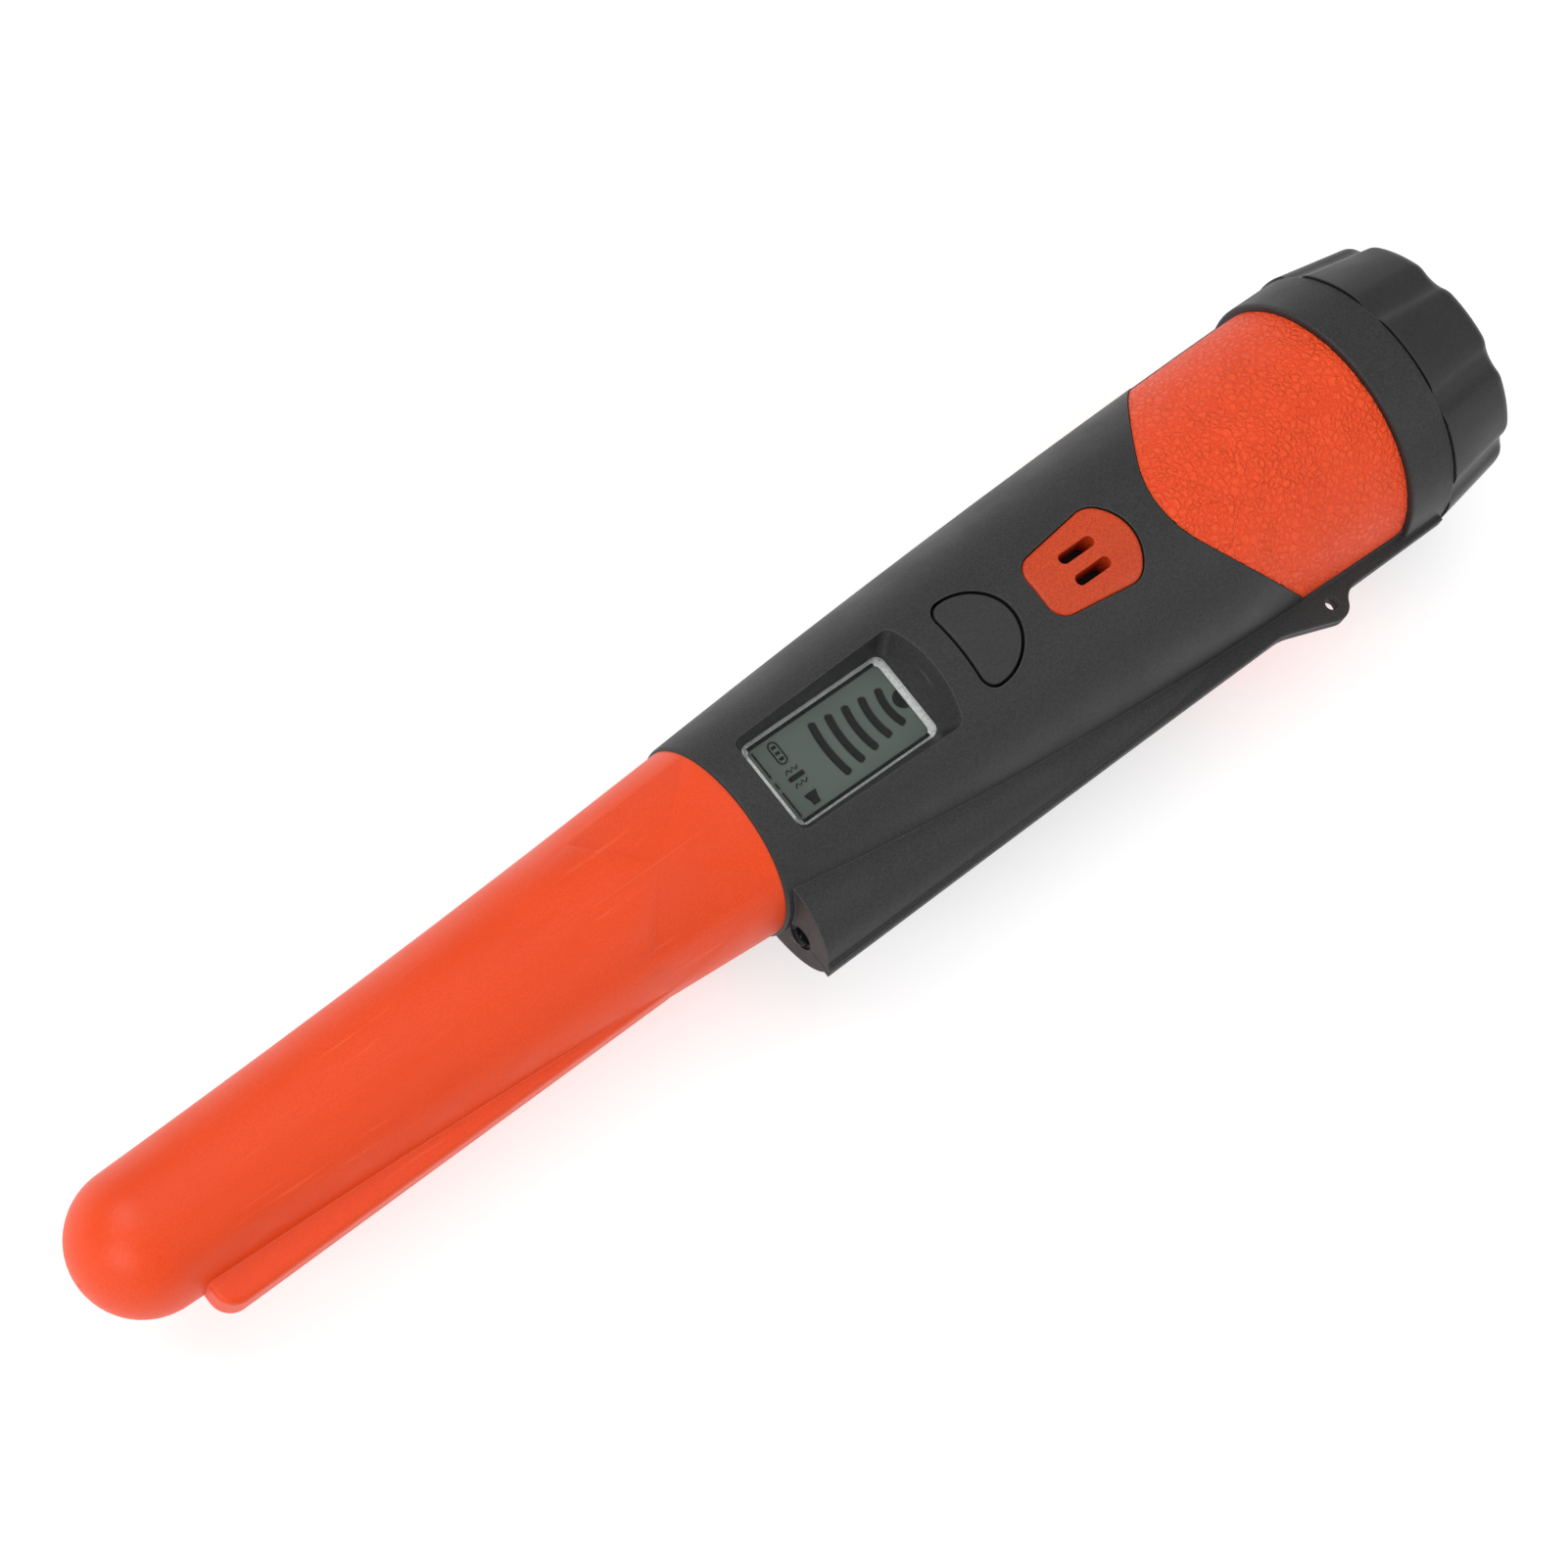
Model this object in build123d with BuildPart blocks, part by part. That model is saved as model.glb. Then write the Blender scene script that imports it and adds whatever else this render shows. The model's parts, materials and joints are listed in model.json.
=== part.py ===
from build123d import *
import math
import os

# Handheld pinpointing metal detector, in millimetres.
# +X runs from the probe's tip to the battery cap, +Z out of the display, and the
# lamp ridge and the scraper blade are on the -Y side.
# The origin is the centre of the battery cap's flat end face.

# ---------------------------------------------------------------- overall sizes
probe_length = 109.0          # exposed probe, tip to seam
handle_length = 123.55        # the two half shells, seam to the collar's rear face
cap_length = 14.15            # exposed battery cap
cap_gap = 0.3                 # collar's rear face to the cap's rim

collar_rear_x = -(cap_length + cap_gap)
seam_x = collar_rear_x - handle_length
tip_x = seam_x - probe_length

# ---------------------------------------------------------------- clearances
slip_fit = 0.05               # parts of one body that slide together on assembly
running_fit = 0.08            # radial, threads and shafts that turn
seat_gap = 0.12               # around lenses and inlays
button_gap = 0.5              # groove around the power button
part_gap = 0.3                # between pieces that move past each other

# ---------------------------------------------------------------- probe
probe_tip_radius = 10.5
probe_middle_radius = 12.42
probe_seam_radius = 15.0
probe_middle_x = tip_x + 63.6
probe_wall = 2.0

spigot_radius = 12.6          # the probe's neck inside the half shells
spigot_wall = 2.2
spigot_length = 7.5
spigot_flange_radius = 13.6
spigot_flange_width = 2.0
spigot_flat_z = 2.5           # the flat that clears the circuit board and display
spigot_full_length = 4.0      # stretch of the neck that stays fully round
spigot_root = 2.6             # solid ring where the neck joins the probe
probe_seal_section = 0.7
probe_seal_inset = 1.8        # seam to the seal's centre line

blade_front_inset = 13.0      # tip to the blade's front edge
blade_rear_inset = 90.0
blade_front_reach = 15.0      # axis to the blade's outer edge
blade_rear_reach = 13.75
blade_thickness = 5.6
blade_corner_radius = 3.2
blade_edge_radius = 1.0

# ---------------------------------------------------------------- search coil
ferrite_radius = 4.0
ferrite_length = 62.0
ferrite_chamfer = 0.4
bobbin_bore_radius = ferrite_radius + slip_fit
bobbin_core_radius = 5.2
bobbin_flange_width = 2.0
bobbin_front_inset = 11.0     # tip to the bobbin's front face
bobbin_length = 54.0
bobbin_front_flange_radius = 8.3
bobbin_rear_flange_radius = 10.0
coil_radius = 7.4

# ---------------------------------------------------------------- handle shells
handle_front_radius = 15.4
handle_middle_radius = 18.65
handle_rear_radius = 20.55
handle_middle_inset = 54.8    # seam to the station of the middle radius
shell_wall = 2.2
rim_round = 0.5
collar_radius = 21.4
collar_width = 8.3
collar_front_x = collar_rear_x - collar_width
collar_edge = 0.35
collar_wall_width = 3.0       # the inner wall behind the collar, around the tube

underside_front_inset = 2.0   # seam to the front of the flat that it lies on
underside_length = 73.0

parting_gap = 0.24            # height of the groove along the parting line
parting_depth = 0.5

rail_half_height = 1.25       # the flange of the parting line, lamp side only
rail_front_reach = 24.2
rail_middle_reach = 23.1
rail_rear_reach = 22.2
rail_front_inset = 1.3        # seam to the front face of the ridge and the rail
rail_middle_inset = 55.0
rail_rear_inset = 0.9         # rail's end to the collar's rear face
rail_edge = 0.3

ridge_length = 80.0
ridge_front_crease = 13.0     # axis to where the ridge leaves the handle
ridge_rear_crease = 19.6
ridge_front_reach = 23.6
ridge_rear_reach = 22.5
ridge_upper_height = 8.7
ridge_lower_height = 6.5
ridge_rear_height = 0.9
ridge_shoulder_share = 0.46   # control points of the brow, shares of the width
ridge_brow_share = 0.93
ridge_brow_drop = 0.6         # share of the height

lug_inset = 24.4              # lanyard hole to the collar's rear face
lug_hole_radius = 1.05
lug_hole_reach = 22.8
lug_lobe_radius = 2.8
lug_foot_length = 9.6         # straight flank on the probe's side of the lug
lug_front_blend = 8.0
lug_rear_blend = 3.2

# ---------------------------------------------------------------- display
window_front_inset = 6.4      # seam to the window's front edge
window_length = 26.0
window_width = 14.3
window_corner = 1.5
window_z = 12.0               # top face of the lens
window_draft = 25.0           # degrees, walls of the recess
window_thickness = 1.2
window_bevel = 0.45
recess_top_z = 18.5
recess_top_corner = 0.6       # the recess walls meet in creases that sharpen upwards
gasket_thickness = 0.2
ledge_width = 1.0
ledge_thickness = 0.9
tub_wall = 1.6
panel_thickness = 1.6
window_centre_x = seam_x + window_front_inset + window_length / 2

# ---------------------------------------------------------------- power button
button_front_inset = 39.8     # seam to the button's flat front edge
button_length = 9.3
button_half_width = 7.0
button_corner = 2.1
button_top_round = 0.25
button_travel = 0.6
button_flange = 1.0
button_flange_thickness = 1.2
stem_radius = 1.5

# ---------------------------------------------------------------- speaker cover
speaker_front_inset = 53.9    # seam to the cover's front edge
speaker_length = 17.8
speaker_front_half_width = 4.9
speaker_rear_half_width = 6.7
speaker_rear_bow = 3.4        # how far the rear edge bulges
speaker_front_corner = 3.2
speaker_rear_corner = 3.4
speaker_top_round = 0.7
speaker_flange = 1.0
speaker_flange_thickness = 1.2
slot_length = 6.3
slot_width = 1.8
slot_pitch = 3.8
membrane_thickness = 0.6
buzzer_radius = 6.0
buzzer_hole_radius = 1.1

# ---------------------------------------------------------------- grips
grip_front_inset = 77.0       # seam to the apex of the grip's front edge
grip_front_slope = 26.0       # degrees, the V of the front edge against the Y axis
grip_front_lean = 31.4        # degrees, the V's forward lean from the Z axis
grip_apex_radius = 17.0
grip_edge_z = 1.7             # lowest edge, above the parting line
grip_corner = 1.2
grip_depth = 1.15             # depth of the pocket in the shell
grip_sink = 0.25              # the grip's face below the shell's

# ---------------------------------------------------------------- lamp
lamp_y = -17.6
lamp_radius = 1.5
lamp_proud = 1.0              # dome beyond the ridge's front face
lamp_length = 4.6
lamp_flange_radius = 1.95
lamp_flange_width = 1.0
lamp_recess_radius = 2.1
lamp_recess_depth = 0.5
lamp_holder_length = 4.5
lamp_duct_radius = 1.3

# ---------------------------------------------------------------- circuit board
board_top_z = 5.5
board_thickness = 1.6
board_width = 19.2
board_length = 64.5
board_front_inset = 9.6       # seam to the board's front edge
board_corner = 1.0
board_screw_front_inset = 35.0
board_screw_rear_inset = 71.0
board_screw_y = 7.0
board_boss_radius = 2.0
board_screw_radius = 0.9
board_screw_head_radius = 1.5
board_screw_head_height = 1.1
board_screw_length = 7.0
backlight_length = 24.0
backlight_width = 11.8
switch_size = 6.0
switch_height = 3.4
plunger_radius = 1.6
plunger_height = 0.9
plunger_depth = 1.9
chip_height = 1.4
chip_sizes = ((7.0, 7.0), (5.0, 4.0), (3.0, 3.0))
chip_pitch = 9.0

# ---------------------------------------------------------------- shell screws
shell_screw_front_inset = 16.0
shell_screw_rear_inset = 71.0
shell_boss_radius = 2.3
shell_screw_radius = 1.15
shell_screw_head_radius = 2.1
shell_screw_head_height = 1.6
shell_screw_seat_z = -7.0
shell_screw_length = 13.0
screw_drive_width = 0.6
screw_drive_length = 2.0
screw_drive_depth = 0.7
board_boss_gap = 0.2
shell_screw_y = board_width / 2 + shell_boss_radius + board_boss_gap

# ---------------------------------------------------------------- vibration motor
motor_radius = 3.0
motor_length = 12.0
motor_front_inset = 30.0
motor_z = -8.5
motor_shaft_radius = 0.5
motor_shaft_length = 5.5
motor_shaft_depth = 3.0
weight_radius = 2.9
weight_hub_radius = 1.0
weight_length = 3.6
sleeve_wall = 1.0
sleeve_length = 10.0
saddle_width = 5.0

# ---------------------------------------------------------------- battery
battery_length = 46.4
battery_width = 26.5
battery_height = 17.5
battery_corner = 2.0
terminal_height = 2.1
terminal_pitch = 12.7
plus_terminal_radius = 2.85
minus_terminal_radius = 3.9
terminal_bore_radius = 2.0
snap_thickness = 2.7
snap_contact_thickness = 0.5
snap_contact_radius = 2.6
battery_fit = 0.3
tube_radius = 17.1
tube_front_wall = 1.8
tube_wire_radius = 1.5
neck_radius = 18.0
neck_length = 8.6
pad_thickness = 2.6
pad_radius = 11.0
pad_pin_radius = 1.5
pad_pin_length = 1.5

# ---------------------------------------------------------------- battery cap
cap_radius = 21.7
cap_lobes = 8
cap_first_valley = 29.0       # degrees, from +Y towards +Z
valley_depth = 1.0
valley_radius = 4.4
valley_round = 3.4
cap_end_radius = 19.3
cap_end_round = 2.4
cap_end_thickness = 2.4
cap_seal_section = 0.6
cap_seal_inset = 1.6


def quadratic(x, stations):
    """Value at x of the parabola through three (x, value) stations."""
    (xa, va), (xb, vb), (xc, vc) = stations
    a = va * (x - xb) * (x - xc) / ((xa - xb) * (xa - xc))
    b = vb * (x - xa) * (x - xc) / ((xb - xa) * (xb - xc))
    c = vc * (x - xa) * (x - xb) / ((xc - xa) * (xc - xb))
    return a + b + c


def handle_radius(x):
    """Outer radius of the handle's trumpet at station x."""
    return quadratic(
        x,
        (
            (seam_x, handle_front_radius),
            (seam_x + handle_middle_inset, handle_middle_radius),
            (collar_front_x, handle_rear_radius),
        ),
    )


def probe_radius(x):
    """Outer radius of the probe's flare at station x, behind its round tip."""
    return quadratic(
        x,
        (
            (tip_x + probe_tip_radius, probe_tip_radius),
            (probe_middle_x, probe_middle_radius),
            (seam_x, probe_seam_radius),
        ),
    )


def flare(radius_at, start_x, end_x, inset=0.0):
    """The arc of a flared side between two stations, moved in by inset."""
    middle_x = (start_x + end_x) / 2
    points = [(x, radius_at(x) - inset) for x in (start_x, middle_x, end_x)]
    return ThreePointArc(*points)


def handle_solid(inset):
    """The round handle without its collar, its surface moved in by inset."""
    with BuildPart() as solid:
        with BuildSketch(Plane.XZ):
            with BuildLine():
                Polyline(
                    (collar_rear_x, 0),
                    (seam_x, 0),
                    (seam_x, handle_front_radius - inset),
                )
                flare(handle_radius, seam_x, collar_rear_x, inset)
                Line(
                    (collar_rear_x, handle_radius(collar_rear_x) - inset),
                    (collar_rear_x, 0),
                )
            make_face()
        revolve(axis=Axis.X)
    return solid.part


def probe_solid(inset, end_x):
    """The probe's round form up to end_x, its surface moved in by inset."""
    tip_radius = probe_tip_radius - inset
    with BuildPart() as solid:
        with BuildSketch(Plane.XZ):
            with BuildLine():
                RadiusArc(
                    (tip_x + inset, 0),
                    (tip_x + probe_tip_radius, tip_radius),
                    tip_radius,
                )
                flare(probe_radius, tip_x + probe_tip_radius, end_x, inset)
                Polyline(
                    (end_x, probe_radius(end_x) - inset),
                    (end_x, 0),
                    (tip_x + inset, 0),
                )
            make_face()
        revolve(axis=Axis.X)
    return solid.part


def rod(start_x, end_x, radius, y=0.0, z=0.0):
    """A round bar along X."""
    with BuildPart() as solid:
        with BuildSketch(Plane.YZ.offset(start_x)):
            with Locations((y, z)):
                Circle(radius)
        extrude(amount=end_x - start_x)
    return solid.part


def ring_seal(x, centre_radius, section_radius):
    """A round-section seal around the X axis."""
    with BuildPart() as solid:
        with BuildSketch(Plane.XZ):
            with Locations((x, centre_radius)):
                Circle(section_radius)
        revolve(axis=Axis.X)
    return solid.part


def save(piece, label):
    """Label a finished piece and write its STEP file."""
    piece.label = label
    export_step(piece, f"parts/{label}.step")


os.makedirs("parts", exist_ok=True)

# ================================================================ probe
spigot_end_x = seam_x + spigot_length
spigot_bore = spigot_radius - spigot_wall
probe_seal_x = seam_x + probe_seal_inset
probe_seal_radius = spigot_radius + slip_fit - probe_seal_section

with BuildPart() as blade:
    with BuildSketch(Plane.XY) as blade_plan:
        with BuildLine():
            Polyline(
                (tip_x + blade_front_inset, -probe_tip_radius / 2),
                (tip_x + blade_front_inset, -blade_front_reach),
                (tip_x + blade_rear_inset, -blade_rear_reach),
                (tip_x + blade_rear_inset, -probe_tip_radius / 2),
                close=True,
            )
        make_face()
        fillet(blade_plan.vertices().group_by(Axis.Y)[0], blade_corner_radius)
    extrude(amount=blade_thickness / 2, both=True)
    fillet(blade.faces().filter_by(Axis.Z).edges(), blade_edge_radius)

with BuildPart() as probe_shell:
    add(probe_solid(0, seam_x))
    add(blade.part)
    add(rod(seam_x, spigot_end_x, spigot_radius))
    add(rod(spigot_end_x - spigot_flange_width, spigot_end_x, spigot_flange_radius))
    add(probe_solid(probe_wall, seam_x - spigot_root), mode=Mode.SUBTRACT)
    add(rod(seam_x - spigot_root, spigot_end_x, spigot_bore), mode=Mode.SUBTRACT)
    add(
        ring_seal(probe_seal_x, probe_seal_radius, probe_seal_section + slip_fit),
        mode=Mode.SUBTRACT,
    )
    with BuildSketch(Plane.XY.offset(spigot_flat_z)):
        with Locations((seam_x + spigot_full_length, 0)):
            Rectangle(
                spigot_length,
                2 * spigot_flange_radius,
                align=(Align.MIN, Align.CENTER),
            )
    extrude(amount=spigot_flange_radius, mode=Mode.SUBTRACT)
save(probe_shell.part, "probe_shell")

with BuildPart() as probe_seal:
    add(ring_seal(probe_seal_x, probe_seal_radius, probe_seal_section))
save(probe_seal.part, "probe_seal")

# ================================================================ search coil
bobbin_front_x = tip_x + bobbin_front_inset
bobbin_rear_x = bobbin_front_x + bobbin_length
ferrite_front_x = bobbin_front_x - (ferrite_length - bobbin_length) / 2

with BuildPart() as ferrite_rod:
    add(rod(ferrite_front_x, ferrite_front_x + ferrite_length, ferrite_radius))
    chamfer(ferrite_rod.edges(), ferrite_chamfer)
save(ferrite_rod.part, "ferrite_rod")

with BuildPart() as coil_bobbin:
    add(rod(bobbin_front_x, bobbin_rear_x, bobbin_core_radius))
    add(rod(bobbin_front_x, bobbin_front_x + bobbin_flange_width, bobbin_front_flange_radius))
    add(rod(bobbin_rear_x - bobbin_flange_width, bobbin_rear_x, bobbin_rear_flange_radius))
    add(rod(bobbin_front_x, bobbin_rear_x, bobbin_bore_radius), mode=Mode.SUBTRACT)
save(coil_bobbin.part, "coil_bobbin")

with BuildPart() as search_coil:
    coil_front_x = bobbin_front_x + bobbin_flange_width
    coil_rear_x = bobbin_rear_x - bobbin_flange_width
    add(rod(coil_front_x, coil_rear_x, coil_radius))
    add(rod(coil_front_x, coil_rear_x, bobbin_core_radius), mode=Mode.SUBTRACT)
save(search_coil.part, "search_coil")

# ================================================================ half shells
groove_front_x = spigot_end_x - spigot_flange_width - slip_fit
groove_rear_x = spigot_end_x + slip_fit
neck_rib_width = 1.4
neck_rib_x = groove_rear_x + neck_rib_width
tube_seat_radius = tube_radius + slip_fit
tube_seat_x = collar_rear_x - collar_wall_width
rail_front_x = seam_x + rail_front_inset
rail_middle_x = seam_x + rail_middle_inset
rail_rear_x = collar_rear_x - rail_rear_inset
rail_root = handle_front_radius - shell_wall
lug_x = collar_rear_x - lug_inset


def rail_reach(x):
    """Distance from the axis to the rail's outer edge."""
    return quadratic(
        x,
        (
            (rail_front_x, rail_front_reach),
            (rail_middle_x, rail_middle_reach),
            (rail_rear_x, rail_rear_reach),
        ),
    )


with BuildPart() as cavity:
    with BuildSketch(Plane.XZ):
        with BuildLine():
            Polyline(
                (collar_rear_x, 0),
                (seam_x, 0),
                (seam_x, spigot_radius + slip_fit),
                (groove_front_x, spigot_radius + slip_fit),
                (groove_front_x, spigot_flange_radius + slip_fit),
                (groove_rear_x, spigot_flange_radius + slip_fit),
                (groove_rear_x, spigot_radius + slip_fit),
                (neck_rib_x, spigot_radius + slip_fit),
                (neck_rib_x, handle_radius(neck_rib_x) - shell_wall),
            )
            flare(handle_radius, neck_rib_x, tube_seat_x, shell_wall)
            Polyline(
                (tube_seat_x, handle_radius(tube_seat_x) - shell_wall),
                (tube_seat_x, tube_seat_radius),
                (collar_rear_x, tube_seat_radius),
                (collar_rear_x, 0),
            )
        make_face()
    revolve(axis=Axis.X)

with BuildSketch(Plane.XY) as rail_plan:
    lug_foot_x = lug_x - lug_foot_length
    foot_rise = lug_hole_reach - rail_reach(lug_foot_x)
    flank = math.atan(foot_rise / lug_foot_length)
    flank += math.asin(lug_lobe_radius / math.hypot(foot_rise, lug_foot_length))
    with BuildLine():
        ThreePointArc(
            (rail_front_x, -rail_front_reach),
            (rail_middle_x, -rail_middle_reach),
            (rail_rear_x, -rail_rear_reach),
        )
        Polyline(
            (rail_rear_x, -rail_rear_reach),
            (rail_rear_x, -rail_root),
            (rail_front_x, -rail_root),
            (rail_front_x, -rail_front_reach),
        )
    make_face()
    with BuildLine():
        Polyline(
            (lug_foot_x, -rail_reach(lug_foot_x)),
            (
                lug_x - lug_lobe_radius * math.sin(flank),
                -lug_hole_reach - lug_lobe_radius * math.cos(flank),
            ),
            (lug_x, -lug_hole_reach),
            (lug_x, -rail_root),
            (lug_foot_x, -rail_root),
            close=True,
        )
    make_face()
    with Locations((lug_x, -lug_hole_reach)):
        Circle(lug_lobe_radius)
    lug_front_corner = (lug_foot_x, -rail_reach(lug_foot_x))
    lug_rear_corner = (lug_x + lug_lobe_radius, -rail_reach(lug_x))
    fillet(rail_plan.vertices().sort_by_distance(lug_front_corner)[0], lug_front_blend)
    fillet(rail_plan.vertices().sort_by_distance(lug_rear_corner)[0], lug_rear_blend)

with BuildPart() as rail:
    add(rail_plan.sketch)
    extrude(amount=rail_half_height, both=True)
    fillet(rail.faces().filter_by(Axis.Z).edges(), rail_edge)
    with Locations((lug_x, -lug_hole_reach, 0)):
        Hole(lug_hole_radius)


ridge_root = rail_root / 2


def ridge_section(x, crease, height, reach):
    """Half section of the lamp ridge at x, from inside the handle to the rail."""
    width = reach - crease
    shoulder = (-(crease + ridge_shoulder_share * width), height)
    brow = (-(crease + ridge_brow_share * width), ridge_brow_drop * height)
    with BuildSketch(Plane.YZ.offset(x)) as section:
        with BuildLine():
            Polyline(
                (-reach, 0),
                (-ridge_root, 0),
                (-ridge_root, height),
                (-crease, height),
            )
            Bezier((-crease, height), shoulder, brow, (-reach, 0))
        make_face()
    return section.sketch


def ridge_solid(height):
    """Upper (height > 0) or lower half of the ridge, fading out to the rear."""
    rear_x = rail_front_x + ridge_length
    rear_height = math.copysign(ridge_rear_height, height)
    front = ridge_section(rail_front_x, ridge_front_crease, height, ridge_front_reach)
    rear = ridge_section(rear_x, ridge_rear_crease, rear_height, ridge_rear_reach)
    with BuildPart() as solid:
        loft(sections=[front, rear], ruled=True)
    return solid.part


parting_reach = lug_hole_reach + 2 * lug_lobe_radius

with BuildPart() as parting_groove:
    with BuildSketch(Plane.XY):
        with BuildLine():
            flare(handle_radius, seam_x, collar_front_x, parting_depth)
            Polyline(
                (collar_front_x, handle_rear_radius - parting_depth),
                (collar_front_x, collar_radius - parting_depth),
                (collar_rear_x, collar_radius - parting_depth),
                (collar_rear_x, parting_reach),
                (seam_x, parting_reach),
                (seam_x, handle_front_radius - parting_depth),
            )
        make_face()
        with BuildLine():
            ThreePointArc(
                (rail_front_x + parting_depth, parting_depth - rail_front_reach),
                (rail_middle_x, parting_depth - rail_middle_reach),
                (collar_rear_x, parting_depth - rail_rear_reach),
            )
            Polyline(
                (collar_rear_x, parting_depth - rail_rear_reach),
                (collar_rear_x, -parting_reach),
                (rail_front_x, -parting_reach),
                (rail_front_x, -handle_front_radius),
                (rail_front_x + parting_depth, -handle_front_radius),
                (rail_front_x + parting_depth, parting_depth - rail_front_reach),
            )
        make_face()
    extrude(amount=parting_gap / 2, both=True)

lamp_face_x = rail_front_x
lamp_flange_x = lamp_face_x + lamp_length - lamp_proud - lamp_flange_width
lamp_holder_x = lamp_flange_x + lamp_flange_width
lamp_pocket_end_x = lamp_holder_x + lamp_holder_length
lamp_duct_x = lamp_pocket_end_x - lamp_duct_radius

with BuildPart() as lamp_space:
    add(rod(lamp_face_x - lamp_proud, lamp_flange_x, lamp_radius + slip_fit, lamp_y))
    add(rod(lamp_face_x, lamp_face_x + lamp_recess_depth, lamp_recess_radius, lamp_y))
    add(rod(lamp_flange_x, lamp_pocket_end_x, lamp_flange_radius + slip_fit, lamp_y))
    with BuildSketch(Plane.XZ.offset(rail_root - shell_wall)):
        with Locations((lamp_duct_x, 0)):
            Circle(lamp_duct_radius)
    extrude(amount=-lamp_y - rail_root + shell_wall)


def inner_z(x, y):
    """Height of the shell's inner wall over the point x, y."""
    return math.sqrt((handle_radius(x) - shell_wall) ** 2 - y**2)


def posts(stations, radius, low_z, high_z):
    """Round posts along Z, kept inside the shell's wall."""
    with BuildPart() as solid:
        with BuildSketch(Plane.XY.offset(low_z)):
            with Locations(*stations):
                Circle(radius)
        extrude(amount=high_z - low_z)
        add(handle_solid(shell_wall / 2), mode=Mode.INTERSECT)
    return solid.part


def holes(stations, radius, low_z, high_z):
    """Round cutters along Z."""
    with BuildPart() as solid:
        with BuildSketch(Plane.XY.offset(low_z)):
            with Locations(*stations):
                Circle(radius)
        extrude(amount=high_z - low_z)
    return solid.part


def half_shell(ridge_height, keep):
    """One half of the handle with its collar, half rail and half ridge."""
    with BuildPart() as solid:
        add(handle_solid(0))
        fillet(solid.edges().sort_by(Axis.X)[0], rim_round)
        add(rail.part)
        add(ridge_solid(ridge_height))
        add(rod(collar_front_x, collar_rear_x, collar_radius))
        fillet(
            solid.edges()
            .filter_by(GeomType.CIRCLE)
            .filter_by(lambda e: abs(e.radius - collar_radius) < slip_fit)
            .sort_by(Axis.X)[0],
            collar_edge,
        )
        split(bisect_by=Plane.XY, keep=keep)
        add(cavity.part, mode=Mode.SUBTRACT)
        add(parting_groove.part, mode=Mode.SUBTRACT)
        add(lamp_space.part, mode=Mode.SUBTRACT)
    return solid.part


screw_stations = [
    (seam_x + inset, side * shell_screw_y)
    for inset in (shell_screw_front_inset, shell_screw_rear_inset)
    for side in (-1, 1)
]
board_screw_stations = [
    (seam_x + inset, side * board_screw_y)
    for inset in (board_screw_front_inset, board_screw_rear_inset)
    for side in (-1, 1)
]
board_bottom_z = board_top_z - board_thickness
shell_screw_tip_z = shell_screw_seat_z + shell_screw_length
board_screw_tip_z = board_top_z - board_screw_length

# ================================================================ openings and grips
button_x = seam_x + button_front_inset
button_side_x = button_x + button_length - button_half_width
button_flange_z = inner_z(button_x, button_half_width + button_flange) - part_gap
speaker_x = seam_x + speaker_front_inset
speaker_side_x = speaker_x + speaker_length - speaker_rear_bow
speaker_centre_x = speaker_x + speaker_length / 2
speaker_flange_z = min(
    inner_z(speaker_x, speaker_front_half_width + speaker_flange),
    inner_z(speaker_side_x, speaker_rear_half_width + speaker_flange),
)
gasket_z = window_z - window_thickness
ledge_top_z = gasket_z - gasket_thickness
ledge_z = ledge_top_z - ledge_thickness
grip_front_x = seam_x + grip_front_inset
outside_z = collar_radius + part_gap


def button_plan(grow):
    """D-shaped outline of the power button, its edge moved out by grow."""
    with BuildSketch(Plane.XY) as plan:
        with BuildLine():
            Polyline(
                (button_side_x, -button_half_width),
                (button_x, -button_half_width),
                (button_x, button_half_width),
                (button_side_x, button_half_width),
            )
            ThreePointArc(
                (button_side_x, button_half_width),
                (button_x + button_length, 0),
                (button_side_x, -button_half_width),
            )
        make_face()
        fillet(plan.vertices().group_by(Axis.X)[0], button_corner)
        offset(amount=grow)
    return plan.sketch


def speaker_plan(grow):
    """Outline of the speaker cover, a soft trapezoid with a bowed rear edge."""
    with BuildSketch(Plane.XY) as plan:
        with BuildLine():
            Polyline(
                (speaker_side_x, -speaker_rear_half_width),
                (speaker_x, -speaker_front_half_width),
                (speaker_x, speaker_front_half_width),
                (speaker_side_x, speaker_rear_half_width),
            )
            ThreePointArc(
                (speaker_side_x, speaker_rear_half_width),
                (speaker_x + speaker_length, 0),
                (speaker_side_x, -speaker_rear_half_width),
            )
        make_face()
        fillet(plan.vertices().group_by(Axis.X)[0], speaker_front_corner)
        fillet(plan.vertices().group_by(Axis.X)[-1], speaker_rear_corner)
        offset(amount=grow)
    return plan.sketch


def window_plan(border):
    """Rounded rectangle of the display window, its edge moved in by border."""
    with BuildSketch(Plane.XY) as plan:
        with Locations((window_centre_x, 0)):
            RectangleRounded(
                window_length - 2 * border,
                window_width - 2 * border,
                window_corner - border / 2,
            )
    return plan.sketch


def prism(plan, low_z, high_z):
    """A plan outline raised between two heights."""
    with BuildPart() as solid:
        with BuildSketch(Plane.XY.offset(low_z)):
            add(plan)
        extrude(amount=high_z - low_z)
    return solid.part


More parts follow.
